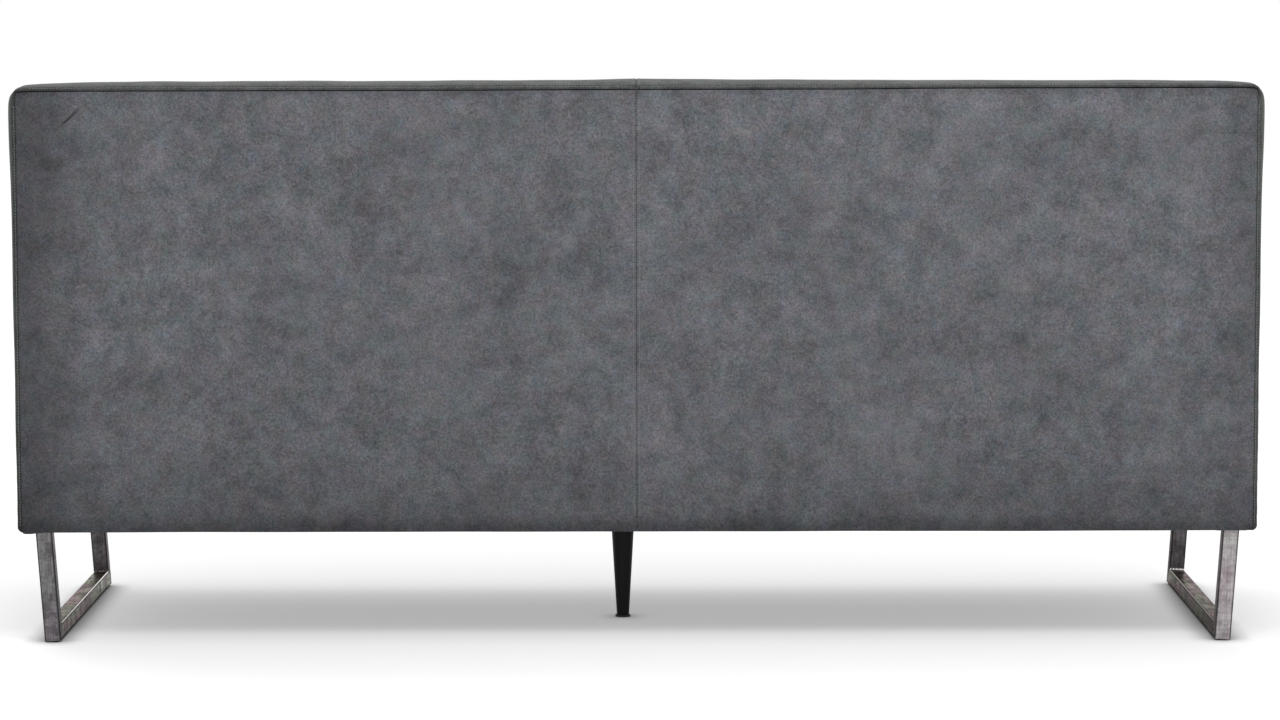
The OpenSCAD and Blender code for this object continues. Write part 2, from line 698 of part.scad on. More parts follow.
// The foam lies on the post above the side rail, behind the foam of the inside back
module side_foam() color(foam) on_side(half_w) slab(across_share, side_along_share,
  function(u, v) let (z = pad_z + (post_top - soft_gap - pad_z) * v, low = post_front(z))
    [low + (liner_y - soft_gap - low) * u, z],
  function(p) side_swell(p) * foam_swell_share - foam_margin, function(p) rail_in_x + soft_gap - half_w);

// Flat covers

// The rear cover is rounded at its outer corners and folds under the rail
module rear_cover() color(fabric) {
  on_rear_face() translate([seam_gap / 2, leg_h]) half_panel(half_w - seam_gap / 2, seam_h - leg_h);
  block([seam_gap / 2, rear_y - hem_w, leg_h], [half_w - panel_corner_r, rear_y - cover_t, leg_h + cover_t]);
}

module on_rear_face() translate([0, rear_y, 0]) rotate([90, 0, 0]) linear_extrude(cover_t) children();

module half_panel(w, h) {
  square([w - panel_corner_r, h]);
  translate([0, panel_corner_r]) square([w, h - 2 * panel_corner_r]);
  for (y = [panel_corner_r, h - panel_corner_r]) translate([w - panel_corner_r, y]) circle(panel_corner_r);
}

module base_front_cover() color(fabric) {
  block([-half_w, front_y, leg_h], [half_w, front_y + cover_t, rail_top]);
  block([-frame_x, front_y + cover_t, leg_h], [frame_x, front_y + hem_w, leg_h + cover_t]);
}

module base_side_cover() color(fabric)
  block([half_w - cover_t, front_y + inset, leg_h], [half_w, crease_y + inset - soft_gap, rail_top]);

module rear_liner() color("#b08d57")
  block([-frame_x, liner_y, frame_z], [frame_x, liner_y + liner_t, top_rail_top]);

module dust_cover() color("#202022") difference() {
  edge_x = sled_top_x - plate_w / 2 - soft_gap;
  block([-edge_x, front_y + hem_w + soft_gap, frame_z - soft_gap - dust_t],
        [edge_x, rear_y - hem_w - soft_gap, frame_z - soft_gap]);
  at_leg(frame_z) cube([leg_plate_w + 2 * soft_gap, leg_plate_w + 2 * soft_gap, 2 * over], center = true);
}

left_side() runner();  // left_runner
left_side() upright(1);  // left_rear_upright
left_side() upright(-1);  // left_front_upright
left_side() mounting_plate();  // left_mounting_plate
right_side() runner();  // right_runner
right_side() upright(1);  // right_rear_upright
right_side() upright(-1);  // right_front_upright
right_side() mounting_plate();  // right_mounting_plate
glide_pads();
plate_bolts();
t_nuts();
centre_leg();
centre_leg_plate();
centre_leg_screws();
hanger_bolt();
stud_insert();
levelling_glide();
base_front_rail();
base_rear_rail();
left_side() base_side_rail();  // base_left_rail
right_side() base_side_rail();  // base_right_rail
spring_rail();
centre_bearer();
left_side() leg_board();  // left_leg_board
right_side() leg_board();  // right_leg_board
corner_blocks();
left_side() side_post();  // left_back_post
centre_back_post();
right_side() side_post();  // right_back_post
back_top_rail();
back_lower_rails();
post_bolts();
left_side() seat_springs();  // left_seat_springs
right_side() seat_springs();  // right_seat_springs
spring_clips();
spring_tie_wires();
spring_felt();
back_webbing();
left_side() seat_foam();  // left_seat_foam
right_side() seat_foam();  // right_seat_foam
left_side() back_foam();  // left_back_foam
right_side() back_foam();  // right_back_foam
top_foam();
left_side() side_foam();  // left_side_foam
right_side() side_foam();  // right_side_foam
rear_liner();
left_side() rear_cover();  // rear_cover_left
right_side() rear_cover();  // rear_cover_right
left_side() top_cover();  // top_cover_left
right_side() top_cover();  // top_cover_right
left_side() back_side_cover();  // back_side_cover_left
right_side() back_side_cover();  // back_side_cover_right
left_side() inside_back();  // inside_back_left
right_side() inside_back();  // inside_back_right
left_side() seat_cover();  // seat_cover_left
right_side() seat_cover();  // seat_cover_right
base_front_cover();
left_side() base_side_cover();  // base_side_cover_left
right_side() base_side_cover();  // base_side_cover_right
dust_cover();
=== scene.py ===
"""Looks of the dining bench: suede covers, cushions, seams, stitches, steel, welds, floor, light, camera.

Metres, in the frame of the CAD model: X along the bench, Y from front to rear, Z up.
"""

import json
import math

import bpy
import numpy as np
from mathutils import Matrix, Vector


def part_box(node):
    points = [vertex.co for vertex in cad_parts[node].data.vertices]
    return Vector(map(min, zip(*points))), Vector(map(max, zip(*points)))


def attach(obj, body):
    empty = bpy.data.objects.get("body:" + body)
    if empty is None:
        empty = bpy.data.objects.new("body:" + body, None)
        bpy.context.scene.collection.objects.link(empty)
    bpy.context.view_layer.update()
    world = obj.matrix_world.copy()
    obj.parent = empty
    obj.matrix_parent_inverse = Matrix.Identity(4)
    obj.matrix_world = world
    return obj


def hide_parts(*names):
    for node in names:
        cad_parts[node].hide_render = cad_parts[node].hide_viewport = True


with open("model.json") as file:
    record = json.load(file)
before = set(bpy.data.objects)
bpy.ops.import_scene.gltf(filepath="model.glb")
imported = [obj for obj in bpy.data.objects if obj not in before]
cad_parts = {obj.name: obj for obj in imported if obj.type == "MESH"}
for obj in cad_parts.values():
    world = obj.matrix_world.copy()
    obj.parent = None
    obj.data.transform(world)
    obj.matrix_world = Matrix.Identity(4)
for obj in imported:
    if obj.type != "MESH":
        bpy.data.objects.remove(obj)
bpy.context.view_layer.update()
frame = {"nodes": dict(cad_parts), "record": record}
nodes = frame["nodes"]

# Sizes

MM = 0.001

# Seams and faces, from the CAD solids
rear_low, rear_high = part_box("rear_cover_right")
top_low, top_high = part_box("top_cover_right")
seat_low, seat_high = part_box("seat_cover_right")
base_low, base_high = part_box("base_front_cover")
dust_low, dust_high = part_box("dust_cover")
plate_low, plate_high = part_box("right_mounting_plate")
runner_low, runner_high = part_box("right_runner")
HALF_W = rear_high.x
SEAM_GAP = rear_low.x
REAR_Y = rear_high.y
SEAM_H = rear_high.z
LEG_H = rear_low.z
LINER_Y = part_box("rear_liner")[1].y
HEM_W = REAR_Y - rear_low.y
BAND_FRONT_Y = top_low.y
TOP_W = REAR_Y - BAND_FRONT_Y
TOP_PUFF = top_high.z - SEAM_H
SIDE_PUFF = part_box("back_side_cover_right")[1].x - HALF_W
FRONT_Y = base_low.y
BASE_TOP = base_high.z
BASE_REAR_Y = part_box("base_side_cover_right")[1].y
PAD_Z = seat_low.z
PAD_REAR = seat_high.y

# The front and side hems end just short of the mounting plates
PLATE_GAP = 0.5 * MM
FRONT_HEM = plate_low.y - FRONT_Y - PLATE_GAP
SIDE_HEM = HALF_W - plate_high.x - PLATE_GAP

# Sizes that the solids' boxes don't give
SIDE_PUFF_LOW = 9 * MM
BACK_PUFF = 14 * MM
SEAT_H = 478 * MM
CREASE_Y = 142 * MM
TUCK = 12 * MM
SEAT_CROWN = 16 * MM
BORDER_PUFF = 8 * MM
DRAW_IN = 3 * MM
PAD_CORNER_R = 14 * MM
REAR_CORNER_R = 4 * MM
PANEL_CORNER_R = 5 * MM
TOP_FRONT_Y = BAND_FRONT_Y - 2.3 * MM
RECLINE = math.atan((TOP_FRONT_Y - CREASE_Y) / (SEAM_H - SEAT_H))

# Cloth and seams
CLOTH_T = 1.0 * MM
FACE_OUT = 0.5 * MM
ROLL_R = 2.2 * MM
CENTRE_R = 1.5 * MM
REAR_CENTRE_R = 0.9 * MM
LIP_R = 2.9 * MM
LIP_OUT = 0.8 * MM
LIP_GAP = -0.5 * MM
SEAM_DROP = 1.8 * MM
STITCH_OFF = 4.4 * MM
STITCH_R = 0.5 * MM
CHANNEL_W = 1.6 * MM
CHANNEL_DEPTH = 0.35 * MM
GRID_STEP = 9 * MM

# The two sides, by the sign of their X
WORD = {1: "right", -1: "left"}


# Numbers

def smoothstep(low, high, value):
    t = np.clip((value - low) / (high - low), 0, 1)
    return t * t * (3 - 2 * t)


def fullness(value, low, high, power):
    """None on both edges, one in the middle."""
    return 1 - np.abs((2 * value - low - high) / (high - low)) ** power


def ripple(a, b, wavelength, seed):
    """Smooth noise from sines in random directions, about -1 to 1."""
    rng = np.random.default_rng(seed)
    count, total = 14, 0
    for _ in range(count):
        angle, phase = rng.uniform(0, 2 * math.pi, 2)
        k = 2 * math.pi / (wavelength * rng.uniform(0.6, 1.7))
        total = total + np.sin(k * (a * math.cos(angle) + b * math.sin(angle)) + phase)
    return total / math.sqrt(count)


def pucker(along, away, seed, height=0.35, reach=9):
    """Small gathers of the cloth along a seam, of a height and a reach in millimetres."""
    rng = np.random.default_rng(seed)
    total = 0
    for wavelength in np.array([9, 14, 23, 41]) * MM:
        phase = rng.uniform(0, 2 * math.pi)
        drift = 2 * np.sin(along / 0.11 + phase)
        total = total + np.sin(2 * math.pi * along / wavelength + phase + drift)
    return height * MM * total / 2 * np.exp(-away / (reach * MM))


def roll(distance, radius=ROLL_R):
    """Depth of a cloth edge that rolls into its seam, at a distance from the seam."""
    d = np.clip(distance, 0, radius)
    return radius - np.sqrt(np.clip(radius ** 2 - (radius - d) ** 2, 0, None))


def rounding(distance, radius):
    """Share of its height that a form has at a distance from a rounded end."""
    return np.sqrt(np.clip(1 - (1 - np.clip(distance / radius, 0, 1)) ** 2, 0, 1))


def channel(distance, at=STITCH_OFF):
    """Depth of the groove that a row of stitches pulls into the cloth."""
    return CHANNEL_DEPTH * np.exp(-((distance - at) / CHANNEL_W) ** 2)


def pulls(a, b, corner_a, corner_b, seed, height=1.0 * MM):
    """Creases that fan out from a corner, where the cloth is pulled tight."""
    rng = np.random.default_rng(seed)
    da, db = a - corner_a, b - corner_b
    distance = np.hypot(da, db)
    angle = np.arctan2(np.abs(db), np.abs(da))
    fan = np.sin(angle * 9 + rng.uniform(0, 6)) + 0.6 * np.sin(angle * 17 + rng.uniform(0, 6))
    return height * fan * np.exp(-distance / (55 * MM)) * smoothstep(0, 25 * MM, distance)


def stations(length, start_seam=True, end_seam=True, extra=(), step=GRID_STEP):
    """Places along a panel: close together at its seams, even between them."""
    close = np.array([0, 0.2, 0.5, 0.9, 1.4, 2.0, 2.7, 3.5, 4.3, 5.0, 5.7, 6.6, 8, 10.5]) * MM
    parts = [np.linspace(0, length, max(2, int(round(length / step)) + 1))]
    if start_seam:
        parts.append(close)
    if end_seam:
        parts.append(length - close)
    parts.extend(np.asarray(e) for e in extra)
    values = np.sort(np.concatenate(parts))
    kept = [values[0]]
    for value in values[1:]:
        if value - kept[-1] > 0.15 * MM:
            kept.append(value)
    kept[-1] = length
    return np.array(kept)


def with_tucks(points, inward, first=0.0, last=0.0, left=0.0, right=0.0):
    """The grid with more rows and columns, where its edges go on into their seams."""
    for axis, before, after in ((0, first, last), (1, left, right)):
        parts = [points]
        if before:
            parts.insert(0, points.take([0], axis) + np.array(inward) * before)
        if after:
            parts.append(points.take([-1], axis) + np.array(inward) * after)
        points = np.concatenate(parts, axis)
    return points


def with_hem(points, inward, turn_d, turn_h, hem, steps):
    """The grid with more rows: from its last row a quarter turn down and inward along Y, then the hem."""
    rows = [points]
    for angle in np.linspace(0, math.pi / 2, steps)[1:]:
        turned = np.array([0, inward * turn_d * (1 - math.cos(angle)), -turn_h * math.sin(angle)])
        rows.append(points[-1:] + turned)
    for h in np.linspace(0, hem, 4)[1:]:
        rows.append(points[-1:] + np.array([0, inward * (turn_d + h), -turn_h]))
    return np.concatenate(rows)


# Meshes

def new_object(name, data):
    made = bpy.data.objects.new(name, data)
    bpy.context.scene.collection.objects.link(made)
    return made


def mirrored(points, side):
    """Points of the right side, or their mirror image on the left."""
    return points * np.array([side, 1, 1])


def make_piece(name, points, faces, material):
    mesh = bpy.data.meshes.new(name)
    mesh.from_pydata(np.asarray(points).tolist(), [], faces)
    mesh.validate()
    mesh.update()
    mesh.shade_smooth()
    mesh.materials.append(material)
    piece = new_object(name, mesh)
    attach(piece, "bench")
    return piece


def grid_normals(points):
    """Unit normals of a grid of points, along rows cross columns."""
    along = np.gradient(points, axis=1)
    up = np.gradient(points, axis=0)
    normal = np.cross(along, up)
    return normal / np.maximum(np.linalg.norm(normal, axis=2, keepdims=True), 1e-12)


def grid_faces(rows, cols):
    """The faces of a grid of points, and the points of its rim in order."""
    index = np.arange(rows * cols).reshape(rows, cols)
    a, b, c, d = index[:-1, :-1], index[:-1, 1:], index[1:, 1:], index[1:, :-1]
    rim = np.concatenate([index[0, :-1], index[:-1, -1], index[-1, :0:-1], index[:0:-1, 0]])
    return np.stack([a, b, c, d], -1).reshape(-1, 4), rim


def spokes(ring, across, up):
    """Unit vectors all round, in the plane of two unit vectors."""
    angles = np.arange(ring) * 2 * math.pi / ring
    return np.outer(np.cos(angles), across) + np.outer(np.sin(angles), up)


def tube_faces(count, ring, base=0):
    """The faces of a closed tube of rings of points, from the point numbered base."""
    faces = []
    for a in range(base, base + (count - 1) * ring, ring):
        for i in range(ring):
            k = (i + 1) % ring
            faces.append((a + i, a + k, a + ring + k, a + ring + i))
    faces.append(tuple(reversed(range(base, base + ring))))
    faces.append(tuple(range(base + (count - 1) * ring, base + count * ring)))
    return faces


def panel(name, points, outward, slot="grey_suede", thickness=CLOTH_T):
    """A closed panel of cloth: a grid of outer points and the same points moved inwards."""
    normals = grid_normals(points)
    rows, cols = points.shape[:2]
    flipped = np.dot(normals[rows // 2, cols // 2], outward) < 0
    if flipped:
        normals = -normals
    count = rows * cols
    inner = points - normals * thickness
    quads, rim = grid_faces(rows, cols)
    after = np.roll(rim, -1)
    wall = np.stack([rim, rim + count, after + count, after], -1)
    faces = np.concatenate([quads, quads[:, ::-1] + count, wall])
    if flipped:
        faces = faces[:, ::-1]
    both = np.concatenate([points.reshape(-1, 3), inner.reshape(-1, 3)])
    return make_piece(name, both, faces.tolist(), CLOTH[slot])


def along_path(place, count, outward):
    """Points and normals of the surface place(s, off) on the line off = 0, with s from 0 to 1."""
    s = np.linspace(0, 1, count)
    path = place(s, 0.0)
    along = np.gradient(path, axis=0)
    across = place(s, 0.6 * MM) - place(s, -0.6 * MM)
    normals = np.cross(along, across)
    normals /= np.linalg.norm(normals, axis=1, keepdims=True)
    return path, normals * np.sign(normals @ np.array(outward))[:, None]


def stitch_rows(name, rows, pitch):
    """Rows of stitches: each row is its points and the cloth's normals there."""
    ring = 6
    # One stitch: places along it, its thickness there and its height over the cloth
    section = np.array([-1, -0.72, 0, 0.72, 1]) * pitch * 0.3
    radii = np.array([0.25, 0.85, 1, 0.85, 0.25]) * STITCH_R
    lifts = np.array([-0.9, 0.1, 0.55, 0.1, -0.9]) * STITCH_R
    points, faces = [], []
    for path, normals in rows:
        steps = np.linalg.norm(np.diff(path, axis=0), axis=1)
        length = np.concatenate([[0], np.cumsum(steps)])

        def at(s, values):
            return np.stack([np.interp(s, length, values[:, k]) for k in range(3)], -1)

        for s in np.arange(pitch / 2, length[-1] - pitch / 3, pitch):
            middle = at(s, path)
            tangent = at(min(s + MM, length[-1]), path) - at(max(s - MM, 0), path)
            tangent /= np.linalg.norm(tangent)
            normal = at(s, normals)
            normal -= tangent * np.dot(normal, tangent)
            normal /= np.linalg.norm(normal)
            round_it = spokes(ring, np.cross(tangent, normal), normal)
            faces += tube_faces(len(section), ring, len(points) * ring)
            for place, radius, lift in zip(section, radii, lifts):
                points.append(middle + tangent * place + normal * lift + radius * round_it)
    return make_piece(name, np.concatenate(points), faces, THREAD)


# Materials

def put(tree, value, socket):
    """Link an output to an input, or give the input a number, a vector or a colour."""
    if isinstance(value, bpy.types.NodeSocket):
        tree.links.new(value, socket)
    elif hasattr(value, "__len__") and len(socket.default_value) == 4:
        socket.default_value = (*value, 1)
    else:
        socket.default_value = value


def new_node(tree, kind, inputs=(), **settings):
    node = tree.nodes.new("ShaderNode" + kind)
    for name, value in settings.items():
        setattr(node, name, value)
    for key, value in dict(inputs).items():
        put(tree, value, node.inputs[key])
    return node


def math_node(tree, operation, a, b=0.0, c=0.0):
    return new_node(tree, "Math", {0: a, 1: b, 2: c}, operation=operation).outputs[0]


class Shader:
    """A node material that is built from left to right."""

    def __init__(self, name):
        self.material = bpy.data.materials.new(name)
        self.material.use_nodes = True
        self.tree = self.material.node_tree
        self.bsdf = self.tree.nodes["Principled BSDF"]
        self.coords = self.new("TexCoord").outputs["Object"]

    def new(self, kind, inputs=(), **settings):
        return new_node(self.tree, kind, inputs, **settings)

    def math(self, operation, a, b=0.0, c=0.0):
        return math_node(self.tree, operation, a, b, c)

    def plus(self, a, b):
        return self.math("ADD", a, b)

    def minus(self, a, b):
        return self.math("SUBTRACT", a, b)

    def times(self, *values):
        total = values[0]
        for value in values[1:]:
            total = self.math("MULTIPLY", total, value)
        return total

    def size(self, value):
        return self.math("ABSOLUTE", value)

    def blend(self, a, share_a, b, share_b):
        return self.plus(self.times(a, share_a), self.times(b, share_b))

    def factor(self, value, gain):
        """One, and gain times the value."""
        return self.math("MULTIPLY_ADD", value, gain, 1.0)

    def contrast(self, value, gain):
        """One, and gain times what the value is over a half."""
        return self.factor(self.minus(value, 0.5), gain)

    def vector(self, operation, a, b):
        return self.new("VectorMath", {0: a, 1: b}, operation=operation).outputs[0]

    def moved(self, a, b):
        return self.vector("ADD", a, b)

    def tinted(self, a, b):
        """The product of two colours or vectors, number by number."""
        return self.vector("MULTIPLY", a, b)

    def scaled(self, vector, scale):
        return self.new("VectorMath", {0: vector, "Scale": scale}, operation="SCALE").outputs[0]

    def split(self, vector):
        return self.new("SeparateXYZ", {0: vector}).outputs

    def noise(self, scale, detail, roughness, vector=None, output="Fac"):
        place = self.coords if vector is None else vector
        inputs = {"Vector": place, "Scale": scale, "Detail": detail, "Roughness": roughness}
        return self.new("TexNoise", inputs).outputs[output]

    def cells(self, scale):
        return self.new("TexVoronoi", {"Vector": self.coords, "Scale": scale}).outputs["Distance"]

    def ramp(self, value, low, high, to_low=0.0, to_high=1.0):
        """A smooth step from to_low to to_high, while the value goes from low to high."""
        inputs = {"Value": value, "From Min": low, "From Max": high, "To Min": to_low, "To Max": to_high}
        return self.new("MapRange", inputs, interpolation_type="SMOOTHSTEP").outputs[0]

    def line(self, value, at, contact_shade, far, strength=1.0):
        """A soft line where the value is close to a number: full up to near, gone beyond far."""
        return self.ramp(self.size(self.minus(value, at)), contact_shade, far, strength, 0.0)

    def mix(self, factor, a, b):
        return self.new("Mix", {0: factor, 6: a, 7: b}, data_type="RGBA").outputs[2]

    def bump(self, height, distance, strength=0.5):
        return self.new("Bump", {"Height": height, "Distance": distance, "Strength": strength}).outputs[0]

    def set(self, **values):
        names = {"colour": "Base Color", "roughness": "Roughness", "metallic": "Metallic", "normal": "Normal",
                 "sheen": "Sheen Weight", "sheen_roughness": "Sheen Roughness",
                 "specular": "Specular IOR Level", "edge": "Specular Tint"}
        for key, value in values.items():
            put(self.tree, value, self.bsdf.inputs[names[key]])
        return self.material


WHITE = (1.0, 1.0, 1.0)


def suede():
    """Mottled microfibre: clouds of slate and purple brown, a short nap, fine grain, a little lint."""
    s = Shader("grey_suede")
    warp = s.scaled(s.moved(s.noise(16, 3, 0.5, output="Color"), (-0.5, -0.5, -0.5)), 0.03)
    place = s.moved(s.coords, warp)
    cloud = s.noise(10, 8, 0.92, place)
    patches = s.noise(24, 7, 0.9, s.moved(place, (3.1, 1.7, 4.2)))
    tint = s.noise(36, 6, 0.88, s.moved(place, (7.3, 2.9, 0.4)))
    cool = s.noise(30, 6, 0.88, s.moved(place, (1.9, 5.3, 2.2)))
    grain = s.noise(300, 3, 0.9)
    tone = s.blend(cloud, 0.52, patches, 0.48)
    hue = s.mix(s.ramp(tint, 0.42, 0.58), (0.112, 0.125, 0.136), (0.132, 0.124, 0.139))
    hue = s.tinted(hue, s.mix(s.ramp(cool, 0.42, 0.58), (1.0, 1.0, 0.945), (1.0, 1.0, 1.055)))
    x, y, z = s.split(s.coords)
    on_rear = s.ramp(y, 0.30, 0.325)

    # Painted shade at the ends, towards the bottom, beside the seams and in the fold; and the faint chalk
    # line
    # Painted shade: the ends of the rear darker
    end_shade = s.times(s.ramp(x, END_SHADE_FROM, HALF_W), on_rear)
    end_shade = s.math("MULTIPLY_ADD", s.ramp(x, -END_SHADE_FROM - 0.06, -HALF_W), 0.4, end_shade)
    # Painted shade: darker towards the bottom of the cover
    low_shade = s.plus(s.ramp(z, LEG_H + 0.14, LEG_H + 0.01), s.ramp(z, LEG_H + 0.03, LEG_H + 0.004))
    # Painted shade in the stitch groove above the top seam, under that seam, and along the centre seam
    over_seam = s.minus(z, SEAM_H)
    groove = s.line(over_seam, 4.6 * MM, 0.5 * MM, 1.9 * MM, 0.25)
    shade_under_seam = s.times(s.ramp(over_seam, -14 * MM, -3 * MM, 0, 0.13), s.ramp(over_seam, -MM, 0, 1, 0))
    centre = s.times(s.line(x, 0, 0.5 * MM, 1.7 * MM, 0.2), on_rear)
    seams = s.plus(s.plus(groove, shade_under_seam), centre)
    # Painted shade along the fold
    fold_x, fold_z = CREASE_AXIS
    from_x, from_z = s.minus(x, CREASE_FROM[0]), s.minus(z, CREASE_FROM[1])
    along = s.blend(from_x, fold_x, from_z, fold_z)
    across = s.blend(from_x, fold_z, from_z, -fold_x)
    fold_shade = s.times(s.line(across, 0, 0.7 * MM, 2.8 * MM), s.ramp(along, -2 * MM, 9 * MM),
                     s.ramp(along, 28 * MM, 40 * MM, 1, 0), on_rear)
    chalk = s.times(s.line(x, CHALK_X, 0.5 * MM, 2 * MM), s.ramp(z, CHALK_LOW, CHALK_LOW + 0.05), on_rear)
    # The painted shade and the chalk line together
    darkened = s.times(s.factor(end_shade, -0.40), s.factor(low_shade, -0.25), s.factor(seams, -1.0),
                   s.factor(fold_shade, -0.56), s.factor(chalk, 0.09))

    # Painted shade: the top band and the faces turned sideways are darker and more olive, as light falls on
    # them at a flat angle
    on_top = s.ramp(z, SEAM_H - MM, SEAM_H + MM)
    face = s.split(s.new("NewGeometry").outputs["True Normal"])
    on_side = s.math("MAXIMUM", s.ramp(s.size(x), HALF_W, HALF_W + MM), s.ramp(s.size(face[0]), 0.6, 0.85))
    hue = s.tinted(hue, s.mix(on_top, WHITE, (0.59, 0.61, 0.54)))
    hue = s.tinted(hue, s.mix(on_side, WHITE, (0.68, 0.72, 0.62)))

    light = s.times(s.contrast(tone, 3.7), s.contrast(grain, 2.4), darkened)
    lint = s.ramp(s.cells(16), 0.010, 0.016, 0.5, 0.0)
    colour = s.scaled(s.mix(lint, s.scaled(hue, light), (0.42, 0.42, 0.42)), 0.975)
    rough = s.ramp(tone, 0.4, 0.6, 0.94, 0.84)
    nap = s.bump(s.blend(grain, 0.7, patches, 0.5), 0.25 * MM)
    return s.set(colour=colour, roughness=rough, sheen=0.10, sheen_roughness=0.45, specular=0.2, normal=nap)


def thread():
    """Grey sewing thread."""
    s = Shader("thread")
    twist = s.noise(900, 2, 0.5)
    colour = s.mix(twist, (0.155, 0.16, 0.16), (0.29, 0.295, 0.29))
    return s.set(colour=colour, roughness=0.75, sheen=0.15, normal=s.bump(twist, 0.1 * MM, 0.6))


def dust_cloth():
    """Black non-woven cloth with embossed points."""
    s = Shader("dust_cloth")
    fibres = s.noise(700, 4, 0.7)
    points = s.cells(450)
    colour = s.mix(fibres, (0.008, 0.008, 0.009), (0.022, 0.022, 0.024))
    height = s.plus(fibres, s.times(points, 2))
    return s.set(colour=colour, roughness=0.9, specular=0.2, normal=s.bump(height, 0.2 * MM, 0.6))


def sled_steel(name, bare, patina, upright, middle, glint, side_edge):
    """Raw steel tube: brushed along its length, with mill patina, and painted dark along its edges as shade
    and dark reflection.

    middle is the place of the tube's axis: along Y for an upright, up the leaning frame for a runner.
    glint is the strength of the painted highlight on a runner's inner upper edge, side_edge how much its
    sides shine at a flat angle.
    """
    s = Shader(name)
    brushed = (1.0, 1.0, 0.06) if upright else (1.0, 0.06, 1.0)
    marked = (0.1, 0.1, 1.6) if upright else (0.1, 0.5, 0.1)
    drawn = (1.0, 1.0, 0.3) if upright else (1.0, 0.3, 1.0)
    streak = s.noise(420, 3, 0.6, s.tinted(s.coords, brushed))
    cross = s.noise(160, 4, 0.6, s.tinted(s.coords, marked))
    hue = s.noise(30, 4, 0.7, s.moved(s.tinted(s.coords, drawn), (2.7, 8.1, 3.3)))
    brush = s.blend(streak, 0.6, cross, 0.4)
    shade = s.ramp(s.blend(s.noise(38, 6, 0.65), 0.6, s.noise(140, 5, 0.7), 0.4), 0.40, 0.60)

    # Places over the tube: from its axis sideways and along its other width, and from its nearest edge
    x, y, z = s.split(s.coords)
    side_x = s.size(x)
    axis_x = s.math("MULTIPLY_ADD", z, math.tan(SLED_LEAN), SLED_AXIS_X)
    across = s.times(s.minus(side_x, axis_x), math.cos(SLED_LEAN))
    up = s.minus(s.blend(side_x, math.sin(SLED_LEAN), z, math.cos(SLED_LEAN)), SLED_FOOT_UP)
    second = s.minus(y if upright else up, middle)
    gap_a = s.minus(TUBE_W / 2, s.size(across))
    gap_b = s.minus(TUBE_D / 2, s.size(second))
    from_edge = s.math("SQRT", s.blend(gap_a, gap_a, gap_b, gap_b))
    painted_edge_dark = s.ramp(from_edge, 1.2 * MM, 3.0 * MM, 1, 0)
    on_side = s.ramp(gap_a, 0.3 * MM, 1.2 * MM, 1, 0)

    green = (0.97, 1.01, 0.985) if upright else (0.94, 1.02, 0.95)
    pink = (1.025, 0.985, 1.01) if upright else (1.05, 0.95, 1.01)
    fine = s.tinted(s.mix(s.ramp(hue, 0.40, 0.60), green, pink),
                    s.mix(s.ramp(brush, 0.3, 0.7), (0.74, 0.74, 0.74), (1.22, 1.2, 1.2)))
    colour = s.tinted(s.mix(shade, patina, bare), fine)
    if upright:
        # The side faces are painted darker, as shade
        colour = s.mix(s.times(on_side, 0.45), colour, (0.035, 0.03, 0.032))
        edge = s.mix(on_side, WHITE, side_edge)
    else:
        edge = s.tinted(s.mix(on_side, (0.56, 0.54, 0.51), side_edge), fine)
        edge = s.tinted(edge, s.mix(shade, (0.78, 0.77, 0.77), (1.14, 1.14, 1.14)))
    # Painted dark lines along the edges, for the shade and dark reflection on the rounded corners
    colour = s.mix(s.times(painted_edge_dark, 0.85), colour, (0.028, 0.024, 0.026))
    edge = s.mix(s.times(painted_edge_dark, 0.7), edge, (0.06, 0.05, 0.05))
    rough = s.ramp(brush, 0.25, 0.75, *((0.52, 0.34) if upright else (0.36, 0.24)))
    if not upright:
        # Painted reflections: a dark line on the inner face under the top edge, and a painted highlight along
        # the inner top edge
        dark_under_glint = s.times(s.ramp(gap_b, 1.2 * MM, 2.0 * MM), s.ramp(gap_b, 3.6 * MM, 2.6 * MM), on_side, 0.7)
        inner_top = s.times(s.ramp(across, -2 * MM, 2 * MM, 1, 0), s.ramp(second, -2 * MM, 2 * MM))
        painted_bright = s.times(s.ramp(from_edge, 1.15 * MM, 1.6 * MM, glint, 0), inner_top)
        for share, shown in ((dark_under_glint, (0.02, 0.018, 0.018)), (painted_bright, (0.93, 0.90, 0.88))):
            colour = s.mix(share, colour, shown)
            edge = s.mix(share, edge, shown)
    return s.set(colour=colour, metallic=1.0, roughness=rough, edge=edge, normal=s.bump(brush, 0.06 * MM))


def simple(name, dark, light, scale, roughness, bump=0.1 * MM, stretch=(1, 1, 1), **more):
    """A material whose colour and relief follow one noise."""
    s = Shader(name)
    place = s.tinted(s.coords, stretch)
    grain = s.noise(scale, 4, 0.65, place)
    both = s.blend(grain, 0.5, s.noise(scale / 9, 3, 0.6, place), 0.5)
    return s.set(colour=s.mix(s.ramp(both, 0.3, 0.7), dark, light),
                 roughness=s.ramp(grain, 0.3, 0.7, roughness + 0.06, roughness - 0.06),
                 normal=s.bump(grain, bump), **more)


# A crease near the top corner, on the photograph's left, from its lower to its upper end
CREASE_FROM = np.array([0.8708, 0.7924])
CREASE_TO = np.array([0.8422, 0.8186])
CREASE_L = np.linalg.norm(CREASE_TO - CREASE_FROM)
CREASE_AXIS = (CREASE_TO - CREASE_FROM) / CREASE_L

# A faint chalk line down the rear, and where the ends of the rear are painted darker as shade, the +X end
# most, as it turns from the light
CHALK_X = 0.452
CHALK_LOW = 0.58
END_SHADE_FROM = 0.80

CLOTH = {"grey_suede": suede(), "dust_cloth": dust_cloth()}
THREAD = thread()

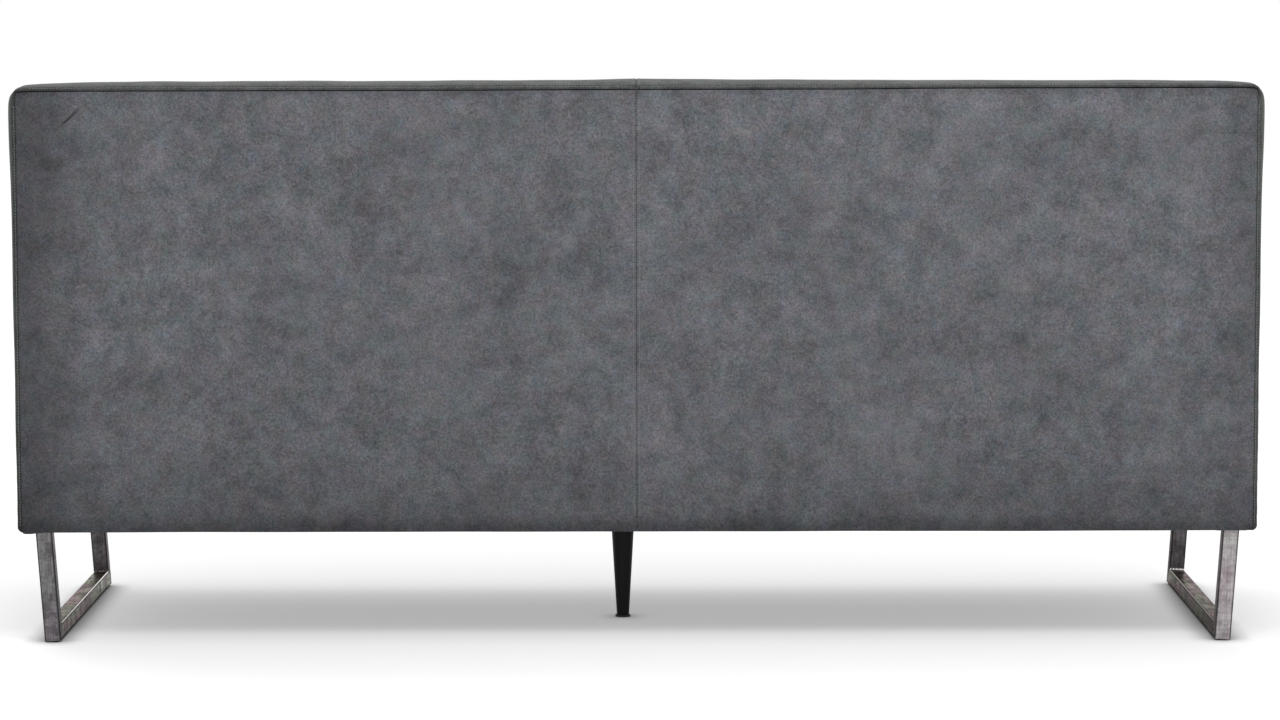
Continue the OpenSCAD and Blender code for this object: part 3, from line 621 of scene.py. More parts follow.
SLED_LEAN = math.radians(4)
TUBE_W = 25 * MM
TUBE_D = 25 * MM
FOOT_PAD = 1 * MM
SLED_AXIS_X = (plate_low.x + plate_high.x) / 2 - plate_low.z * math.tan(SLED_LEAN)
SLED_FOOT_Z = FOOT_PAD + TUBE_W / 2 * math.sin(SLED_LEAN)
SLED_FOOT_X = SLED_AXIS_X + SLED_FOOT_Z * math.tan(SLED_LEAN)
SLED_FOOT_UP = SLED_FOOT_X * math.sin(SLED_LEAN) + SLED_FOOT_Z * math.cos(SLED_LEAN)

# Bare metal and patina; the far uprights' steel is painted darker as shade, and the left sled's steel is a
# lighter, lit copy of the grey steel
GREY_STEEL = ((0.198, 0.191, 0.197), (0.100, 0.092, 0.098))
SHADED_FAR_STEEL = ((0.142, 0.132, 0.138), (0.066, 0.060, 0.064))
LIT_STEEL = ((0.42, 0.395, 0.405), (0.27, 0.243, 0.252))
RUNNER_STEEL = ((0.235, 0.218, 0.20), (0.095, 0.082, 0.083))

# The mounting plates are no tubes: an axis far away keeps a tube's painted edge lines off them
NO_AXIS = 1.0

# The right sled stands on the left as the camera sees it. The sleds are one steel: the right one's rear
# uprights are painted darker as shade, the left one's lighter as lit, and their side shine and painted glint
# differ as the light falls
for side, shades, glint, side_edge in ((1, GREY_STEEL, 1.0, (0.78, 0.765, 0.755)),
                                       (-1, LIT_STEEL, 0.5, (0.46, 0.45, 0.44))):
    tubes = {"rear_upright": (shades, True, runner_high.y - TUBE_D / 2),
             "front_upright": (SHADED_FAR_STEEL, True, runner_low.y + TUBE_D / 2),
             "runner": (RUNNER_STEEL, False, TUBE_D / 2),
             "mounting_plate": (GREY_STEEL, False, NO_AXIS)}
    for tube, (tones, upright, middle) in tubes.items():
        name = f"{WORD[side]}_{tube}"
        steel = sled_steel(f"steel_{name}", *tones, upright, middle, glint, side_edge)
        nodes[name].material_slots[0].material = steel

BY_SLOT = {
    "zinc_steel": simple("zinc_steel", (0.48, 0.49, 0.50), (0.66, 0.67, 0.68), 260, 0.32, metallic=1.0),
    "spring_steel": simple("spring_steel", (0.10, 0.10, 0.105), (0.24, 0.24, 0.245), 300, 0.42, metallic=1.0),
    "black_leg": simple("black_leg", (0.005, 0.005, 0.006), (0.011, 0.011, 0.013), 60, 0.45, 0.08 * MM,
                        (1, 1, 0.12), specular=0.14),
    "glide_plastic": simple("glide_plastic", (0.014, 0.014, 0.016), (0.026, 0.026, 0.028), 500, 0.55),
    "frame_wood": simple("frame_wood", (0.42, 0.27, 0.13), (0.66, 0.48, 0.28), 90, 0.62, 0.2 * MM,
                         (0.05, 1, 1)),
    "felt": simple("felt", (0.16, 0.16, 0.155), (0.34, 0.335, 0.32), 380, 0.95, 0.5 * MM),
    "webbing": simple("webbing", (0.025, 0.025, 0.03), (0.07, 0.07, 0.075), 650, 0.85, 0.3 * MM),
    "foam": simple("foam", (0.62, 0.56, 0.38), (0.82, 0.77, 0.58), 700, 0.95, 0.4 * MM),
    "liner_board": simple("liner_board", (0.32, 0.22, 0.12), (0.48, 0.35, 0.20), 260, 0.85)}
for part in frame["record"]["subparts"]:
    if part["material_slot"] in BY_SLOT:
        for slot in nodes[part["node"]].material_slots:
            slot.material = BY_SLOT[part["material_slot"]]


# Rear cover

def crease_depth(x, z):
    """A short fold that the cloth keeps, deep in its middle, with a low ridge beside it."""
    dx, dz = x - CREASE_FROM[0], z - CREASE_FROM[1]
    along = (dx * CREASE_AXIS[0] + dz * CREASE_AXIS[1]) / CREASE_L
    across = dx * CREASE_AXIS[1] - dz * CREASE_AXIS[0] + 4 * MM * (along - 0.5) ** 2
    fade = smoothstep(-0.3, 0.45, along) * (1 - smoothstep(0.75, 1.15, along))
    groove = 1.3 * MM * np.exp(-(across / (1.3 * MM)) ** 2)
    ridge = 0.8 * MM * np.exp(-((across - 3.4 * MM) / (2.4 * MM)) ** 2)
    return fade * (groove - ridge)


def seam_lift(x):
    """How far the top seam runs over its level: low at its ends, high on the photograph's right."""
    drop, reach = np.where(x > 0, 1.3 * MM, 1.2 * MM), np.where(x > 0, 24 * MM, 14 * MM)
    ends = -drop * np.exp(-(HALF_W - np.abs(x)) / reach)
    return ends - 0.6 * MM * smoothstep(0.05, 0.3, x) + 1.1 * MM * smoothstep(-0.30, -0.50, x)


def rear_y(x, z, side):
    """The rear face of the cover over its edges: rolled into the seams, tight between them."""
    to_centre, to_side, to_top = np.abs(x), HALF_W - np.abs(x), SEAM_H - SEAM_DROP - z
    nearest = np.minimum.reduce([to_centre, to_side, to_top])
    depth = roll(to_centre, REAR_CENTRE_R) + roll(to_side) + roll(to_top, CENTRE_R) + channel(to_centre)
    crown = 0.8 * MM * (1 - smoothstep(0, 75 * MM, to_side)) ** 2
    slack = ripple(x, z, 0.42, 11) * 0.35 * MM + ripple(x, z, 0.13, 12) * 0.10 * MM
    slack = slack * smoothstep(0, 60 * MM, nearest)
    seams = (pucker(z, to_centre, 21, 0.25) + pucker(x, to_top, 22, 0.3, 14)
             + pucker(z, to_side, 23, 0.25, 10))
    crease = crease_depth(x, z) if side > 0 else 0
    return REAR_Y + FACE_OUT - depth - crown + slack + seams * smoothstep(0, ROLL_R, nearest) - crease


def half_stations(extra=()):
    """Stations over one half of the bench, from its centre seam to its side seam."""
    return stations(HALF_W - SEAM_GAP / 3, extra=extra) + SEAM_GAP / 3


def rear_panel(side):
    """One half of the rear cover, from the top seam down round the rail to its hem."""
    top_z = SEAM_H - SEAM_DROP
    turn_h, turn_d = 22 * MM, 4 * MM
    fold_x, fold_z, fold_step = [], [], 1.2 * MM
    if side > 0:
        fold_x = np.arange(CREASE_TO[0] - 0.02, CREASE_FROM[0] + 0.02, fold_step)
        fold_z = top_z - np.arange(CREASE_FROM[1] - 0.02, CREASE_TO[1] + 0.015, fold_step)
    us = half_stations([fold_x])
    down = stations(top_z - LEG_H - turn_h, end_seam=False, extra=[fold_z])
    x, z = np.meshgrid(us, top_z - down)
    points = np.stack([x, rear_y(x * side, z, side), z], -1)
    points = with_hem(points, -1, turn_d, turn_h, HEM_W - turn_d - FACE_OUT, 12)
    x, y, z = np.moveaxis(points, -1, 0)
    corner = 1 - rounding(np.minimum(z - LEG_H, top_z - z), PANEL_CORNER_R)
    x = x * (1 - PANEL_CORNER_R / HALF_W * corner)
    sag = ripple(x[0] * side, 0, 0.30, 31) * 0.3 * MM - 0.2 * MM
    if side > 0:
        sag = sag - 2.2 * MM * smoothstep(HALF_W - 34 * MM, HALF_W - 12 * MM, x[0])
    z = z + sag * smoothstep(LEG_H + 60 * MM, LEG_H, z)
    z = z + seam_lift(x[0] * side) * smoothstep(SEAM_H - 70 * MM, SEAM_H, z)
    y = np.where(z > LEG_H + 1.9 * MM, np.maximum(y, LINER_Y + 0.5 * MM), y)
    points = with_tucks(np.stack([x, y, z], -1), (0, -1, 0), first=2.5 * MM, left=0.6 * MM, right=2.5 * MM)
    word = WORD[side]
    piece = panel(f"rear_panel_{word}", mirrored(points, side), (0, 1, 0))
    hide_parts(f"rear_cover_{word}")


def rear_stitches():
    """A row of stitches on each side of the centre seam."""
    rows = []
    for side in (1, -1):
        def place(s, off):
            z = LEG_H + 24 * MM + (SEAM_H - LEG_H - 30 * MM) * s
            x = np.full_like(z, side * (STITCH_OFF + off))
            return np.stack([x, rear_y(x, z, side), z], -1)
        rows.append(along_path(place, 400, (0, 1, 0)))
    stitch_rows("centre_topstitch", rows, 4.0 * MM)


# Bands of the back

LIP_TOP = math.radians(70)
LIP_L = LIP_R * (math.pi / 2 + LIP_TOP)
LIP_H = LIP_GAP + LIP_R * (1 + math.sin(LIP_TOP))
TOP_STITCH = LIP_R * 2.5
SIDE_STITCH = LIP_R * 1.14
BAND_STEP = 6 * MM


def back_front_y(z):
    """The reclined front of the back at a height."""
    return CREASE_Y + np.maximum(z - SEAT_H, 0) * math.tan(RECLINE)


def band_total(width):
    """The length of arc over a band, from its rear seam to its front seam."""
    return 2 * LIP_L + width + 2 * LIP_OUT - 2 * LIP_R * (1 - math.cos(LIP_TOP))


def band_section(arc, width, puff):
    """Place along a band and height over its seams: a lip bulges over each, a swell lies between them."""
    total = band_total(width)
    angle = np.clip(np.minimum(arc, total - arc) / LIP_R, 0, LIP_L / LIP_R) - math.pi / 2
    lip_place = -LIP_OUT + LIP_R * (1 - np.cos(angle))
    lip_height = LIP_GAP + LIP_R * (1 + np.sin(angle))
    t = np.clip((arc - LIP_L) / (total - 2 * LIP_L), 0, 1)
    rise = np.maximum(puff - LIP_H, -1.5 * MM) * fullness(t, 0, 1, 4)
    between = lip_place + (width - 2 * lip_place) * t
    place = np.where(arc < LIP_L, lip_place, np.where(arc > total - LIP_L, width - lip_place, between))
    return place, lip_height + rise


def band_arcs(width):
    """Stations over the arc of a band."""
    total = band_total(width)
    lip = np.linspace(0, LIP_L + 3 * MM, 15)
    middle = np.linspace(lip[-1], total - lip[-1], max(2, int(round(width / BAND_STEP))))
    return np.concatenate([lip[:-1], middle, total - lip[-2::-1]])


def top_point(x, arc):
    """The top band: arc runs over it from its rear seam to its front seam."""
    total = band_total(TOP_W)
    ax, edge = np.abs(x), np.minimum(arc, total - arc)
    to_end = HALF_W - ax
    puff = TOP_PUFF + 1.8 * MM * (np.exp(-((x + 0.03) / 0.17) ** 2) - 1)
    puff = puff - 1.9 * MM * smoothstep(-0.22, -0.60, x) - MM * smoothstep(0.72, 0.84, ax)
    place, height = band_section(arc, TOP_W, puff)
    fall, reach = np.where(x > 0, 0.40, 0.35), np.where(x > 0, 45 * MM, 30 * MM)
    end = 1 - 0.3 * np.exp(-to_end / (2.5 * MM)) - fall * np.exp(-to_end / reach)
    gather = pucker(x, edge, 41, 0.5, 16) * smoothstep(0, LIP_R, edge)
    centre = pucker(arc, ax, 42, 0.45, 22) * smoothstep(0, CENTRE_R, ax) - roll(ax, CENTRE_R)
    slack = ripple(x, arc * 2.5, 0.16, 43) * 0.4 * MM * fullness(arc, 0, total, 4)
    z = SEAM_H + end * (height - 3 * channel(edge, TOP_STITCH) + gather + slack) + centre
    z = z + seam_lift(x) * (1 - arc / total)
    y = REAR_Y - place + 0.4 * gather * np.sign(total / 2 - arc)
    return np.stack([x + 0 * y, y, z], -1)


def top_band(side):
    us = half_stations([HALF_W - np.array([1, 2, 3, 4, 6, 8, 10, 12, 14]) * MM])
    x, arc = np.meshgrid(us, band_arcs(TOP_W))
    points = with_tucks(top_point(x * side, arc), (0, 0, -1), left=1.5 * MM, right=4 * MM)
    word = WORD[side]
    piece = panel(f"top_band_{word}", points, (0, 0, 1))
    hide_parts(f"top_cover_{word}", *(["top_foam"] if side > 0 else []))


def side_point(z, share, side):
    """A side band, as on the right: share runs over its arc from its rear seam to its front seam."""
    width = REAR_Y - back_front_y(z)
    total = band_total(width)
    arc = share * total
    level = (z - LEG_H) / (SEAM_H - LEG_H)
    low = SIDE_PUFF_LOW + (0.8 * MM if side > 0 else -1.8 * MM)
    place, height = band_section(arc, width, low + (SIDE_PUFF - low) * level)
    edge = np.minimum(arc, total - arc)
    end = (1 - np.exp(-(SEAM_H - z + 1.6 * MM) / (7 * MM))) * rounding(z - LEG_H, 6 * MM)
    gather = pucker(z, edge, 51, 0.4, 12) * smoothstep(0, LIP_R, edge)
    slack = ripple(z, arc * 2, 0.18, 52) * 0.5 * MM * fullness(arc, 0, total, 4)
    x = HALF_W + end * (height + 0.5 * MM - channel(edge, SIDE_STITCH) + gather + slack)
    lift = seam_lift(np.array(side * HALF_W)) * (1 - share) * smoothstep(SEAM_H - 40 * MM, SEAM_H, z)
    return np.stack([x, REAR_Y - place, z + lift + 0 * arc], -1)


def side_band(side):
    ends = np.array([1, 2, 3.5, 5, 7, 9, 11, 13, 15, 17, 20]) * MM
    zs = stations(SEAM_H - LEG_H, extra=[SEAM_H - LEG_H - ends, ends]) + LEG_H
    arcs = band_arcs(REAR_Y - back_front_y(SEAM_H))
    z, share = np.meshgrid(zs, arcs / arcs[-1])
    points = side_point(z, share, side)
    points[..., 2] += 1.6 * MM * smoothstep(10 * MM, 0, z - LEG_H)
    points = with_tucks(points, (-1, 0, 0), last=24 * MM, left=SIDE_HEM, right=5 * MM)
    word = WORD[side]
    piece = panel(f"side_band_{word}", mirrored(points, side), (side, 0, 0))
    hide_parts(f"back_side_cover_{word}", f"{word}_side_foam")


def band_stitches():
    """Topstitching along the rear seams of the top and side bands, and beside the top band's centre seam."""
    rows = []
    for side in (1, -1):
        def on_top(s, off):
            x = side * (SEAM_GAP + 5 * MM + (HALF_W - 24 * MM) * s)
            return top_point(x, np.full_like(x, TOP_STITCH + off))
        rows.append(along_path(on_top, 500, (0, 0.3, 1)))

        def on_side(s, off):
            z = LEG_H + 10 * MM + (SEAM_H - LEG_H - 30 * MM) * s
            share = (SIDE_STITCH + off) / band_total(REAR_Y - back_front_y(z))
            return mirrored(side_point(z, share, side), side)
        rows.append(along_path(on_side, 400, (side, 0.3, 0)))

        def across_top(s, off):
            arc = 12 * MM + (TOP_W - 14 * MM) * s
            return top_point(np.full_like(arc, side * (STITCH_OFF + off)), arc)
        rows.append(along_path(across_top, 60, (0, 0, 1)))
    stitch_rows("band_topstitch", rows, 4.5 * MM)


# Inside back

SLOPE_L = (SEAM_H - SEAT_H) / math.cos(RECLINE)
SLOPE_UP = np.array([0, math.sin(RECLINE), math.cos(RECLINE)])
SLOPE_OUT = np.array([0, -math.cos(RECLINE), math.sin(RECLINE)])
SLOPE_FOOT = np.array([0, CREASE_Y, SEAT_H])


def back_point(x, h):
    """The inside back: h is the height along its slope, over the seat seam."""
    ax = np.abs(x)
    swell = BACK_PUFF * fullness(ax, 0, HALF_W, 8) * fullness(h, -TUCK, SLOPE_L, 4)
    to_centre, to_side, to_top = ax, HALF_W - ax, SLOPE_L - h
    nearest = np.minimum.reduce([to_centre, to_side, to_top])
    seams = (pucker(h, to_centre, 61, 0.5, 16) + pucker(x, to_top, 62, 0.5, 18)
             + pucker(h, to_side, 63, 0.4, 14)) * smoothstep(0, ROLL_R, nearest)
    tight = pulls(ax, h, HALF_W, SLOPE_L, 66) + pulls(ax, h, 0, SLOPE_L, 67, 0.6 * MM)
    slack = ripple(x, h, 0.30, 64) * 1.1 * MM + ripple(x, h * 2.2, 0.11, 65) * 0.4 * MM
    depth = roll(to_centre) + roll(to_side) + roll(to_top) + channel(to_centre) + channel(to_top)
    out = (swell - depth + seams + slack * smoothstep(0, 70 * MM, nearest)
           + tight * smoothstep(0, 20 * MM, nearest))
    sideways = x[..., None] * np.array([1.0, 0, 0])
    return SLOPE_FOOT + sideways + h[..., None] * SLOPE_UP + out[..., None] * SLOPE_OUT


def inside_back(side):
    hs = stations(SLOPE_L + TUCK, start_seam=False) - TUCK
    x, h = np.meshgrid(half_stations(), hs)
    points = with_tucks(back_point(x * side, h), -SLOPE_OUT, last=2 * MM, left=2 * MM, right=2 * MM)
    word = WORD[side]
    piece = panel(f"back_cushion_{word}", points, tuple(SLOPE_OUT))
    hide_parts(f"inside_back_{word}", f"{word}_back_foam")


def back_stitches():
    """Topstitching beside the centre seam of the inside back and under its top seam."""
    rows = []
    for side in (1, -1):
        def beside_centre(s, off):
            h = 4 * MM + (SLOPE_L - 10 * MM) * s
            return back_point(np.full_like(h, side * (STITCH_OFF + off)), h)
        rows.append(along_path(beside_centre, 220, tuple(SLOPE_OUT)))

        def under_top(s, off):
            x = side * (8 * MM + (HALF_W - 16 * MM) * s)
            return back_point(x, np.full_like(x, SLOPE_L - STITCH_OFF - off))
        rows.append(along_path(under_top, 500, tuple(SLOPE_OUT)))
    stitch_rows("back_topstitch", rows, 4.5 * MM)


# Seat

SEAT_X = HALF_W - SEAM_GAP
SEAT_Y = PAD_REAR - FRONT_Y


def seat_plan(us, vs):
    """Places over one half's seat panel, with round corners and drawn-in sides, and shares from -1 to 1."""
    x, y = np.meshgrid(us - SEAT_X / 2, vs - SEAT_Y / 2)
    share_x, share_y = x / (SEAT_X / 2), y / (SEAT_Y / 2)
    radius = np.where(y < 0, PAD_CORNER_R, REAR_CORNER_R)
    inset_x = np.copysign(roll(SEAT_Y / 2 - np.abs(y), radius), x) * np.abs(share_x) ** 24
    inset_y = np.copysign(roll(SEAT_X / 2 - np.abs(x), radius), y) * np.abs(share_y) ** 24
    drawn_x = DRAW_IN * share_x * (1 - share_y ** 4) * np.abs(share_x) ** 3
    drawn_y = DRAW_IN * share_y * (1 - share_x ** 4) * np.abs(share_y) ** 3
    x = x - inset_x - drawn_x + (SEAM_GAP + HALF_W) / 2
    y = y - inset_y * (np.abs(share_x) < 1) - drawn_y + (FRONT_Y + PAD_REAR) / 2
    return x, y, share_x, share_y


def seat_cushion(side):
    """A boxed cushion: crowned panel, seam, swelling border and flat underside, as one closed skin."""
    us, vs = stations(SEAT_X, step=11 * MM), stations(SEAT_Y, step=11 * MM)
    u, v = np.meshgrid(us, vs)
    x, y, share_x, share_y = seat_plan(us, vs)
    edge = np.minimum.reduce([u, SEAT_X - u, v, SEAT_Y - v])
    crown = SEAT_CROWN * (1 - np.abs(share_x) ** 3.5) * (1 - np.abs(share_y) ** 3.5)
    slack = ripple(x * side, y, 0.26, 71) * 1.4 * MM + ripple(x * side, y, 0.10, 72) * 0.45 * MM
    seams = pucker(x + y, edge, 73 + side, 0.6, 18) * smoothstep(0, ROLL_R, edge)
    z = SEAT_H + crown - roll(edge) - channel(edge) + slack * smoothstep(0, 60 * MM, edge) + seams
    top = np.stack([x, y, z], -1).reshape(-1, 3)
    quads, rim = grid_faces(*x.shape)
    faces = quads.tolist()

    # The border swells at the front and the outer side, where nothing is beside it
    rim_points = top[rim]
    step = np.roll(rim_points, -1, 0) - np.roll(rim_points, 1, 0)
    outward = np.stack([step[:, 1], -step[:, 0]], -1)
    outward /= np.maximum(np.linalg.norm(outward, axis=1, keepdims=True), 1e-9)
    rim_x, rim_y = share_x.reshape(-1)[rim], share_y.reshape(-1)[rim]
    full_x, full_y = 1 - rim_x ** 4, 1 - rim_y ** 4
    front = full_x * smoothstep(20 * MM, 0, v.reshape(-1)[rim])
    outer = full_y * smoothstep(20 * MM, 0, SEAT_X - u.reshape(-1)[rim])
    free = np.clip(front + outer, 0, 1)
    # The seam is drawn in between the corners, not at them
    drawn = np.clip(full_x * (np.abs(rim_y) > 0.98) + full_y * (np.abs(rim_x) > 0.98), 0, 1)
    perimeter = np.concatenate([[0], np.cumsum(np.linalg.norm(np.diff(rim_points, axis=0), axis=1))])
    border = SEAT_H - PAD_Z
    rings, previous, base = [top], rim, len(top)
    for drop in stations(border)[1:]:
        level = 1 - drop / border
        gather = pucker(perimeter, drop, 75, 0.5, 16) * smoothstep(0, ROLL_R, drop)
        gather = gather + ripple(perimeter, drop * 2, 0.15, 76) * 0.7 * MM * fullness(level, 0, 1, 4)
        out = BORDER_PUFF * fullness(level, 0, 1, 2.6) * free + gather * np.clip(free + 0.15, 0, 1)
        out = out - roll(np.minimum(drop, border - drop)) * 0.9 - channel(drop)
        out = out + DRAW_IN * (1 - smoothstep(0.55, 1, level)) * drawn
        ring = rim_points.copy()
        ring[:, :2] += outward * out[:, None]
        ring[:, 2] = SEAT_H - ROLL_R - drop * (border - ROLL_R) / border
        rings.append(ring)
        here = np.arange(len(rim)) + base
        faces += np.stack([previous, here, np.roll(here, -1), np.roll(previous, -1)], -1).tolist()
        previous = here
        base += len(rim)
    rings.append(rings[-1].mean(0)[None])
    faces += [(a, base, b) for a, b in zip(previous.tolist(), np.roll(previous, -1).tolist())]
    if side < 0:
        faces = [face[::-1] for face in faces]
    word = WORD[side]
    points = mirrored(np.concatenate(rings), side)
    piece = make_piece(f"seat_cushion_{word}", points, faces, CLOTH["grey_suede"])
    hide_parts(f"seat_cover_{word}", f"{word}_seat_foam")


# Base

def base_front():
    """The front base cover, with its hem under the rail."""
    turn_r, top_tuck = 3.5 * MM, 20 * MM
    drop = stations(BASE_TOP - LEG_H - turn_r, end_seam=False)
    x, z = np.meshgrid(stations(2 * HALF_W) - HALF_W, BASE_TOP - drop)
    to_side, to_top = HALF_W - np.abs(x), BASE_TOP - z
    edge = np.minimum(to_side, to_top)
    y = (FRONT_Y + roll(to_side) + roll(to_top)
         - ripple(x, z, 0.35, 81) * 0.4 * MM * smoothstep(0, 40 * MM, edge)
         - pucker(x, to_top, 82, 0.3, 12) * smoothstep(0, ROLL_R, edge))
    points = with_hem(np.stack([x, y, z], -1), 1, turn_r, turn_r, FRONT_HEM - turn_r, 7)
    points = with_tucks(points, (0, 1, 0), first=top_tuck)
    piece = panel("base_front_panel", points, (0, -1, 0))
    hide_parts("base_front_cover")


def base_side(side):
    """A side base cover, between the front cover and the side band."""
    length, height = BASE_REAR_Y - FRONT_Y, BASE_TOP - LEG_H
    along, down = np.meshgrid(stations(length), stations(height))
    to_end, to_seam = np.minimum(along, length - along), np.minimum(down, height - down)
    edge = np.minimum(to_end, to_seam)
    y, z = FRONT_Y + along, BASE_TOP - down
    x = (HALF_W - roll(to_end) - roll(to_seam)
         + ripple(y, z, 0.30, 83 + side) * 0.4 * MM * smoothstep(0, 40 * MM, edge)
         + pucker(y, down, 84, 0.3, 12) * smoothstep(0, ROLL_R, edge))
    points = with_tucks(np.stack([x, y, z], -1), (-1, 0, 0), last=SIDE_HEM)
    word = WORD[side]
    piece = panel(f"base_side_panel_{word}", mirrored(points, side), (side, 0, 0))
    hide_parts(f"base_side_cover_{word}")


def dust_sheet():
    """The black cloth under the base, a little slack between its staples."""
    spare = 3 * MM
    x_span, y_low, y_high = dust_high.x, dust_low.y - spare, dust_high.y + spare
    x, y = np.meshgrid(np.linspace(-x_span, x_span, 180), np.linspace(y_low, y_high, 64))
    edge = np.minimum(x_span - np.abs(x), np.minimum(y - y_low, y_high - y))
    sag = 2.4 * MM * fullness(x, -x_span, x_span, 6) * fullness(y, y_low, y_high, 4)
    slack = ripple(x, y, 0.22, 91) * 0.8 * MM * smoothstep(0, 60 * MM, edge)
    gathers = pucker(x + y, edge, 92, 0.3, 25)
    z = dust_high.z - 0.2 * MM - sag + np.minimum(slack + gathers, 0)
    piece = panel("dust_sheet", np.stack([x, y, z], -1), (0, 0, -1), "dust_cloth", 0.5 * MM)
    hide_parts("dust_cover")


# Welds

def weld_bead(name, start, end, material, seed):
    """A bead of overlapping ripples between two points."""
    count, ring, radius = 46, 12, 2.7 * MM
    start, end = np.array(start), np.array(end)
    length = np.linalg.norm(end - start)
    axis, toward = (end - start) / length, np.array([0, 0.6, 0.8])
    up = toward - axis * np.dot(axis, toward)
    up /= np.linalg.norm(up)
    rng = np.random.default_rng(seed)
    ts = np.linspace(0, 1, count)
    swell = 1 + 0.16 * np.abs(np.sin(ts * length / (2.2 * MM) * math.pi)) + 0.05 * rng.standard_normal(count)
    swell = swell * np.clip(np.minimum(ts, 1 - ts) * 16, 0.12, 1) ** 0.5
    round_it = spokes(ring, np.cross(axis, up), up)
    points = [start + (end - start) * t + radius * s * round_it for t, s in zip(ts, swell)]
    make_piece(name, np.concatenate(points), tube_faces(count, ring), material)


def welds():
    """A bead across the tube in each inner corner of the sled frames."""
    painted_bright = simple("weld_lit", (0.80, 0.78, 0.77), (0.97, 0.96, 0.95), 500, 0.22, metallic=1.0)
    darkened = simple("weld_dark", (0.10, 0.085, 0.09), (0.26, 0.23, 0.235), 500, 0.4, metallic=1.0)
    inner_z = runner_low.z + TUBE_D * math.cos(SLED_LEAN)
    middle_x = SLED_AXIS_X + inner_z * math.tan(SLED_LEAN)
    over = inner_z + 0.8 * MM
    half = TUBE_W / 2 - 1.0 * MM
    rise = half * math.sin(SLED_LEAN)
    for side in (1, -1):
        for end, word, y in ((1, "rear", runner_high.y - TUBE_D), (-1, "front", runner_low.y + TUBE_D)):
            start = (side * (middle_x - half), y, over + rise)
            stop = (side * (middle_x + half), y, over - rise)
            # One weld is a lit copy with a painted highlight; the other three use a darker copy
            metal = painted_bright if side < 0 and end < 0 else darkened
            weld_bead(f"weld_{WORD[side]}_{word}", start, stop, metal, 7 + end + 3 * side)


# Light, floor, camera

WORLD_LIGHT = 0.72
KEY_LIGHT = 30
FILL_LIGHT = 1.0
FLOOR_ALBEDO = 0.73
FLOOR_GLOW = 0.37


def ray_mask(tree):
    """One for camera, glossy and transmission rays, none for the others."""
    paths = new_node(tree, "LightPath").outputs
    total = paths["Is Camera Ray"]
    for name in ("Is Glossy Ray", "Is Transmission Ray"):
        total = math_node(tree, "MAXIMUM", total, paths[name])
    return total


def make_world():
    """White light from all around, and plain white where the camera sees past the floor."""
    world = bpy.data.worlds.new("studio")
    bpy.context.scene.world = world
    world.use_nodes = True
    tree = world.node_tree
    tree.nodes.clear()
    light = new_node(tree, "Background", {"Color": WHITE, "Strength": WORLD_LIGHT})
    seen = new_node(tree, "Background", {"Color": WHITE, "Strength": 1})
    mix = new_node(tree, "MixShader", {0: ray_mask(tree), 1: light.outputs[0], 2: seen.outputs[0]})
    new_node(tree, "OutputWorld", {0: mix.outputs[0]})


def make_floor():
    """A light floor that glows for the camera, is painted darker beside the feet as contact shade from
    ambient occlusion, and is clear from below.
    """
    line = np.linspace(-16, 16, 33)
    x, y = np.meshgrid(line, line)
    quads = grid_faces(*x.shape)[0]
    mesh = bpy.data.meshes.new("floor")
    mesh.from_pydata(np.stack([x, y, 0 * x], -1).reshape(-1, 3).tolist(), [], quads.tolist())
    floor = new_object("floor", mesh)
    material = bpy.data.materials.new("floor")
    material.use_nodes = True
    tree = material.node_tree
    tree.nodes.clear()
    contact_shade = new_node(tree, "AmbientOcclusion", {"Distance": 0.04}, samples=8)
    shade = math_node(tree, "POWER", contact_shade.outputs["AO"], 1.3)
    glowing = math_node(tree, "MULTIPLY", ray_mask(tree), math_node(tree, "MULTIPLY", shade, FLOOR_GLOW))
    diffuse = new_node(tree, "BsdfDiffuse", {"Color": math_node(tree, "MULTIPLY", shade, FLOOR_ALBEDO)})
    glow = new_node(tree, "Emission", {"Strength": glowing})
    both = new_node(tree, "AddShader", {0: diffuse.outputs[0], 1: glow.outputs[0]})
    clear = new_node(tree, "BsdfTransparent")
    below = new_node(tree, "NewGeometry").outputs["Backfacing"]
    shown = new_node(tree, "MixShader", {0: below, 1: both.outputs[0], 2: clear.outputs[0]})
    new_node(tree, "OutputMaterial", {0: shown.outputs[0]})
    mesh.materials.append(material)


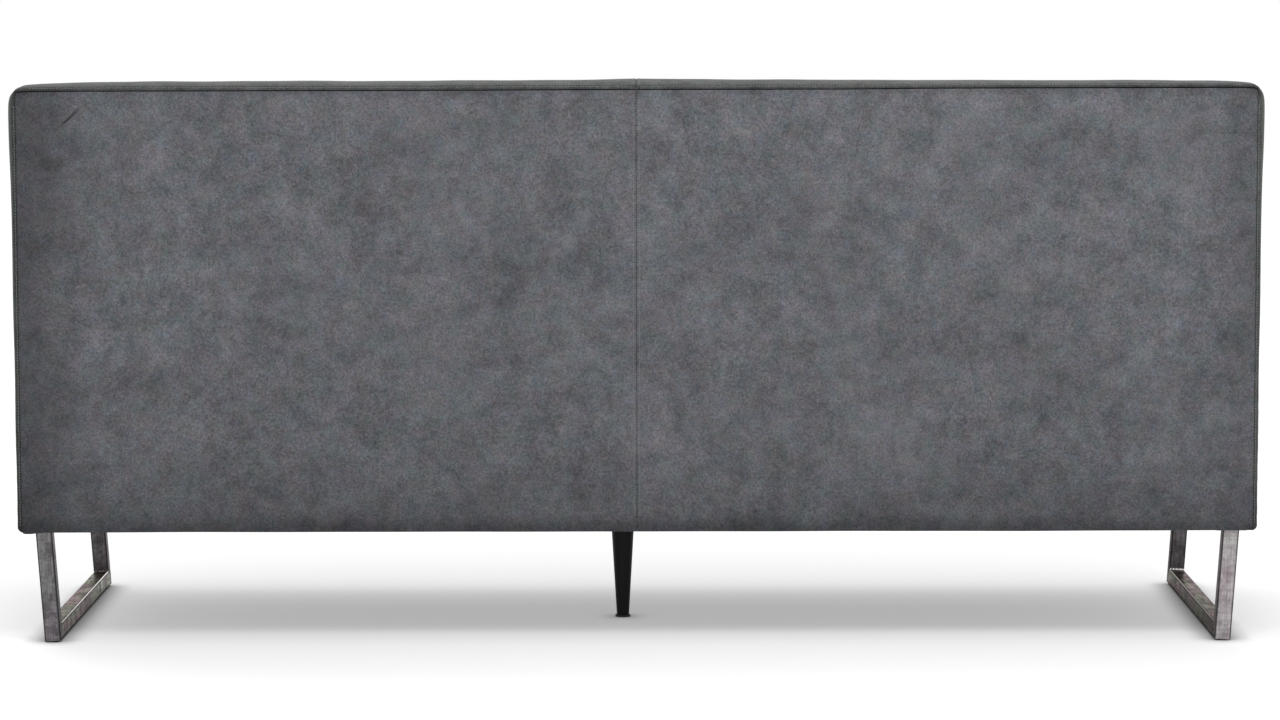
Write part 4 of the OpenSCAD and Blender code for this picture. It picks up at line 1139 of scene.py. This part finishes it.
def make_lamp(name, kind, aim, **settings):
    data = bpy.data.lights.new(name, kind)
    for key, value in settings.items():
        setattr(data, key, value)
    lamp = new_object(name, data)
    lamp.rotation_mode = "QUATERNION"
    lamp.rotation_quaternion = aim.to_track_quat("-Z", "Y")
    return lamp


def make_lights():
    """A wide soft lamp behind the bench, towards the photograph's right, and a soft sun at its front."""
    key_place = Vector((-0.5, REAR_Y + 1.6, 2.35))
    key_aim = Vector((-0.2, REAR_Y, 0.5)) - key_place
    key = make_lamp("key", "AREA", key_aim, energy=KEY_LIGHT, shape="RECTANGLE", size=2.4, size_y=0.8)
    key.location = key_place
    key.visible_camera = False
    key.visible_glossy = False
    make_lamp("fill", "SUN", Vector((-0.2, 0.62, -0.76)), energy=FILL_LIGHT, angle=math.radians(50))


def make_camera():
    """The photograph's viewpoint: behind the bench, a little above it, with a long lens."""
    focal_px, photo_w = 4163.0, 1280
    place = Vector((-0.0276, 6.6309, 1.0208))
    pitch, yaw, turn = 0.09262, 0.00357, -0.00237
    level_right = Vector((-math.cos(yaw), -math.sin(yaw), 0))
    level_ahead = Vector((math.sin(yaw), -math.cos(yaw), 0))
    ahead = level_ahead * math.cos(pitch) + Vector((0, 0, -math.sin(pitch)))
    up = level_ahead * math.sin(pitch) + Vector((0, 0, math.cos(pitch)))
    right = level_right * math.cos(turn) + up * math.sin(turn)
    up = up * math.cos(turn) - level_right * math.sin(turn)
    data = bpy.data.cameras.new("camera")
    data.sensor_width = 36
    data.sensor_fit = "HORIZONTAL"
    data.lens = focal_px / photo_w * data.sensor_width
    data.clip_end = 100
    camera = new_object("camera", data)
    columns = Matrix((right, up, -ahead)).transposed().to_4x4()
    camera.matrix_world = Matrix.Translation(place) @ columns
    bpy.context.scene.camera = camera


for side in (1, -1):
    rear_panel(side)
    top_band(side)
    side_band(side)
    inside_back(side)
    seat_cushion(side)
    base_side(side)
rear_stitches()
band_stitches()
back_stitches()
base_front()
dust_sheet()
welds()
make_world()
make_floor()
make_lights()
make_camera()
bpy.context.scene.view_settings.view_transform = "Standard"
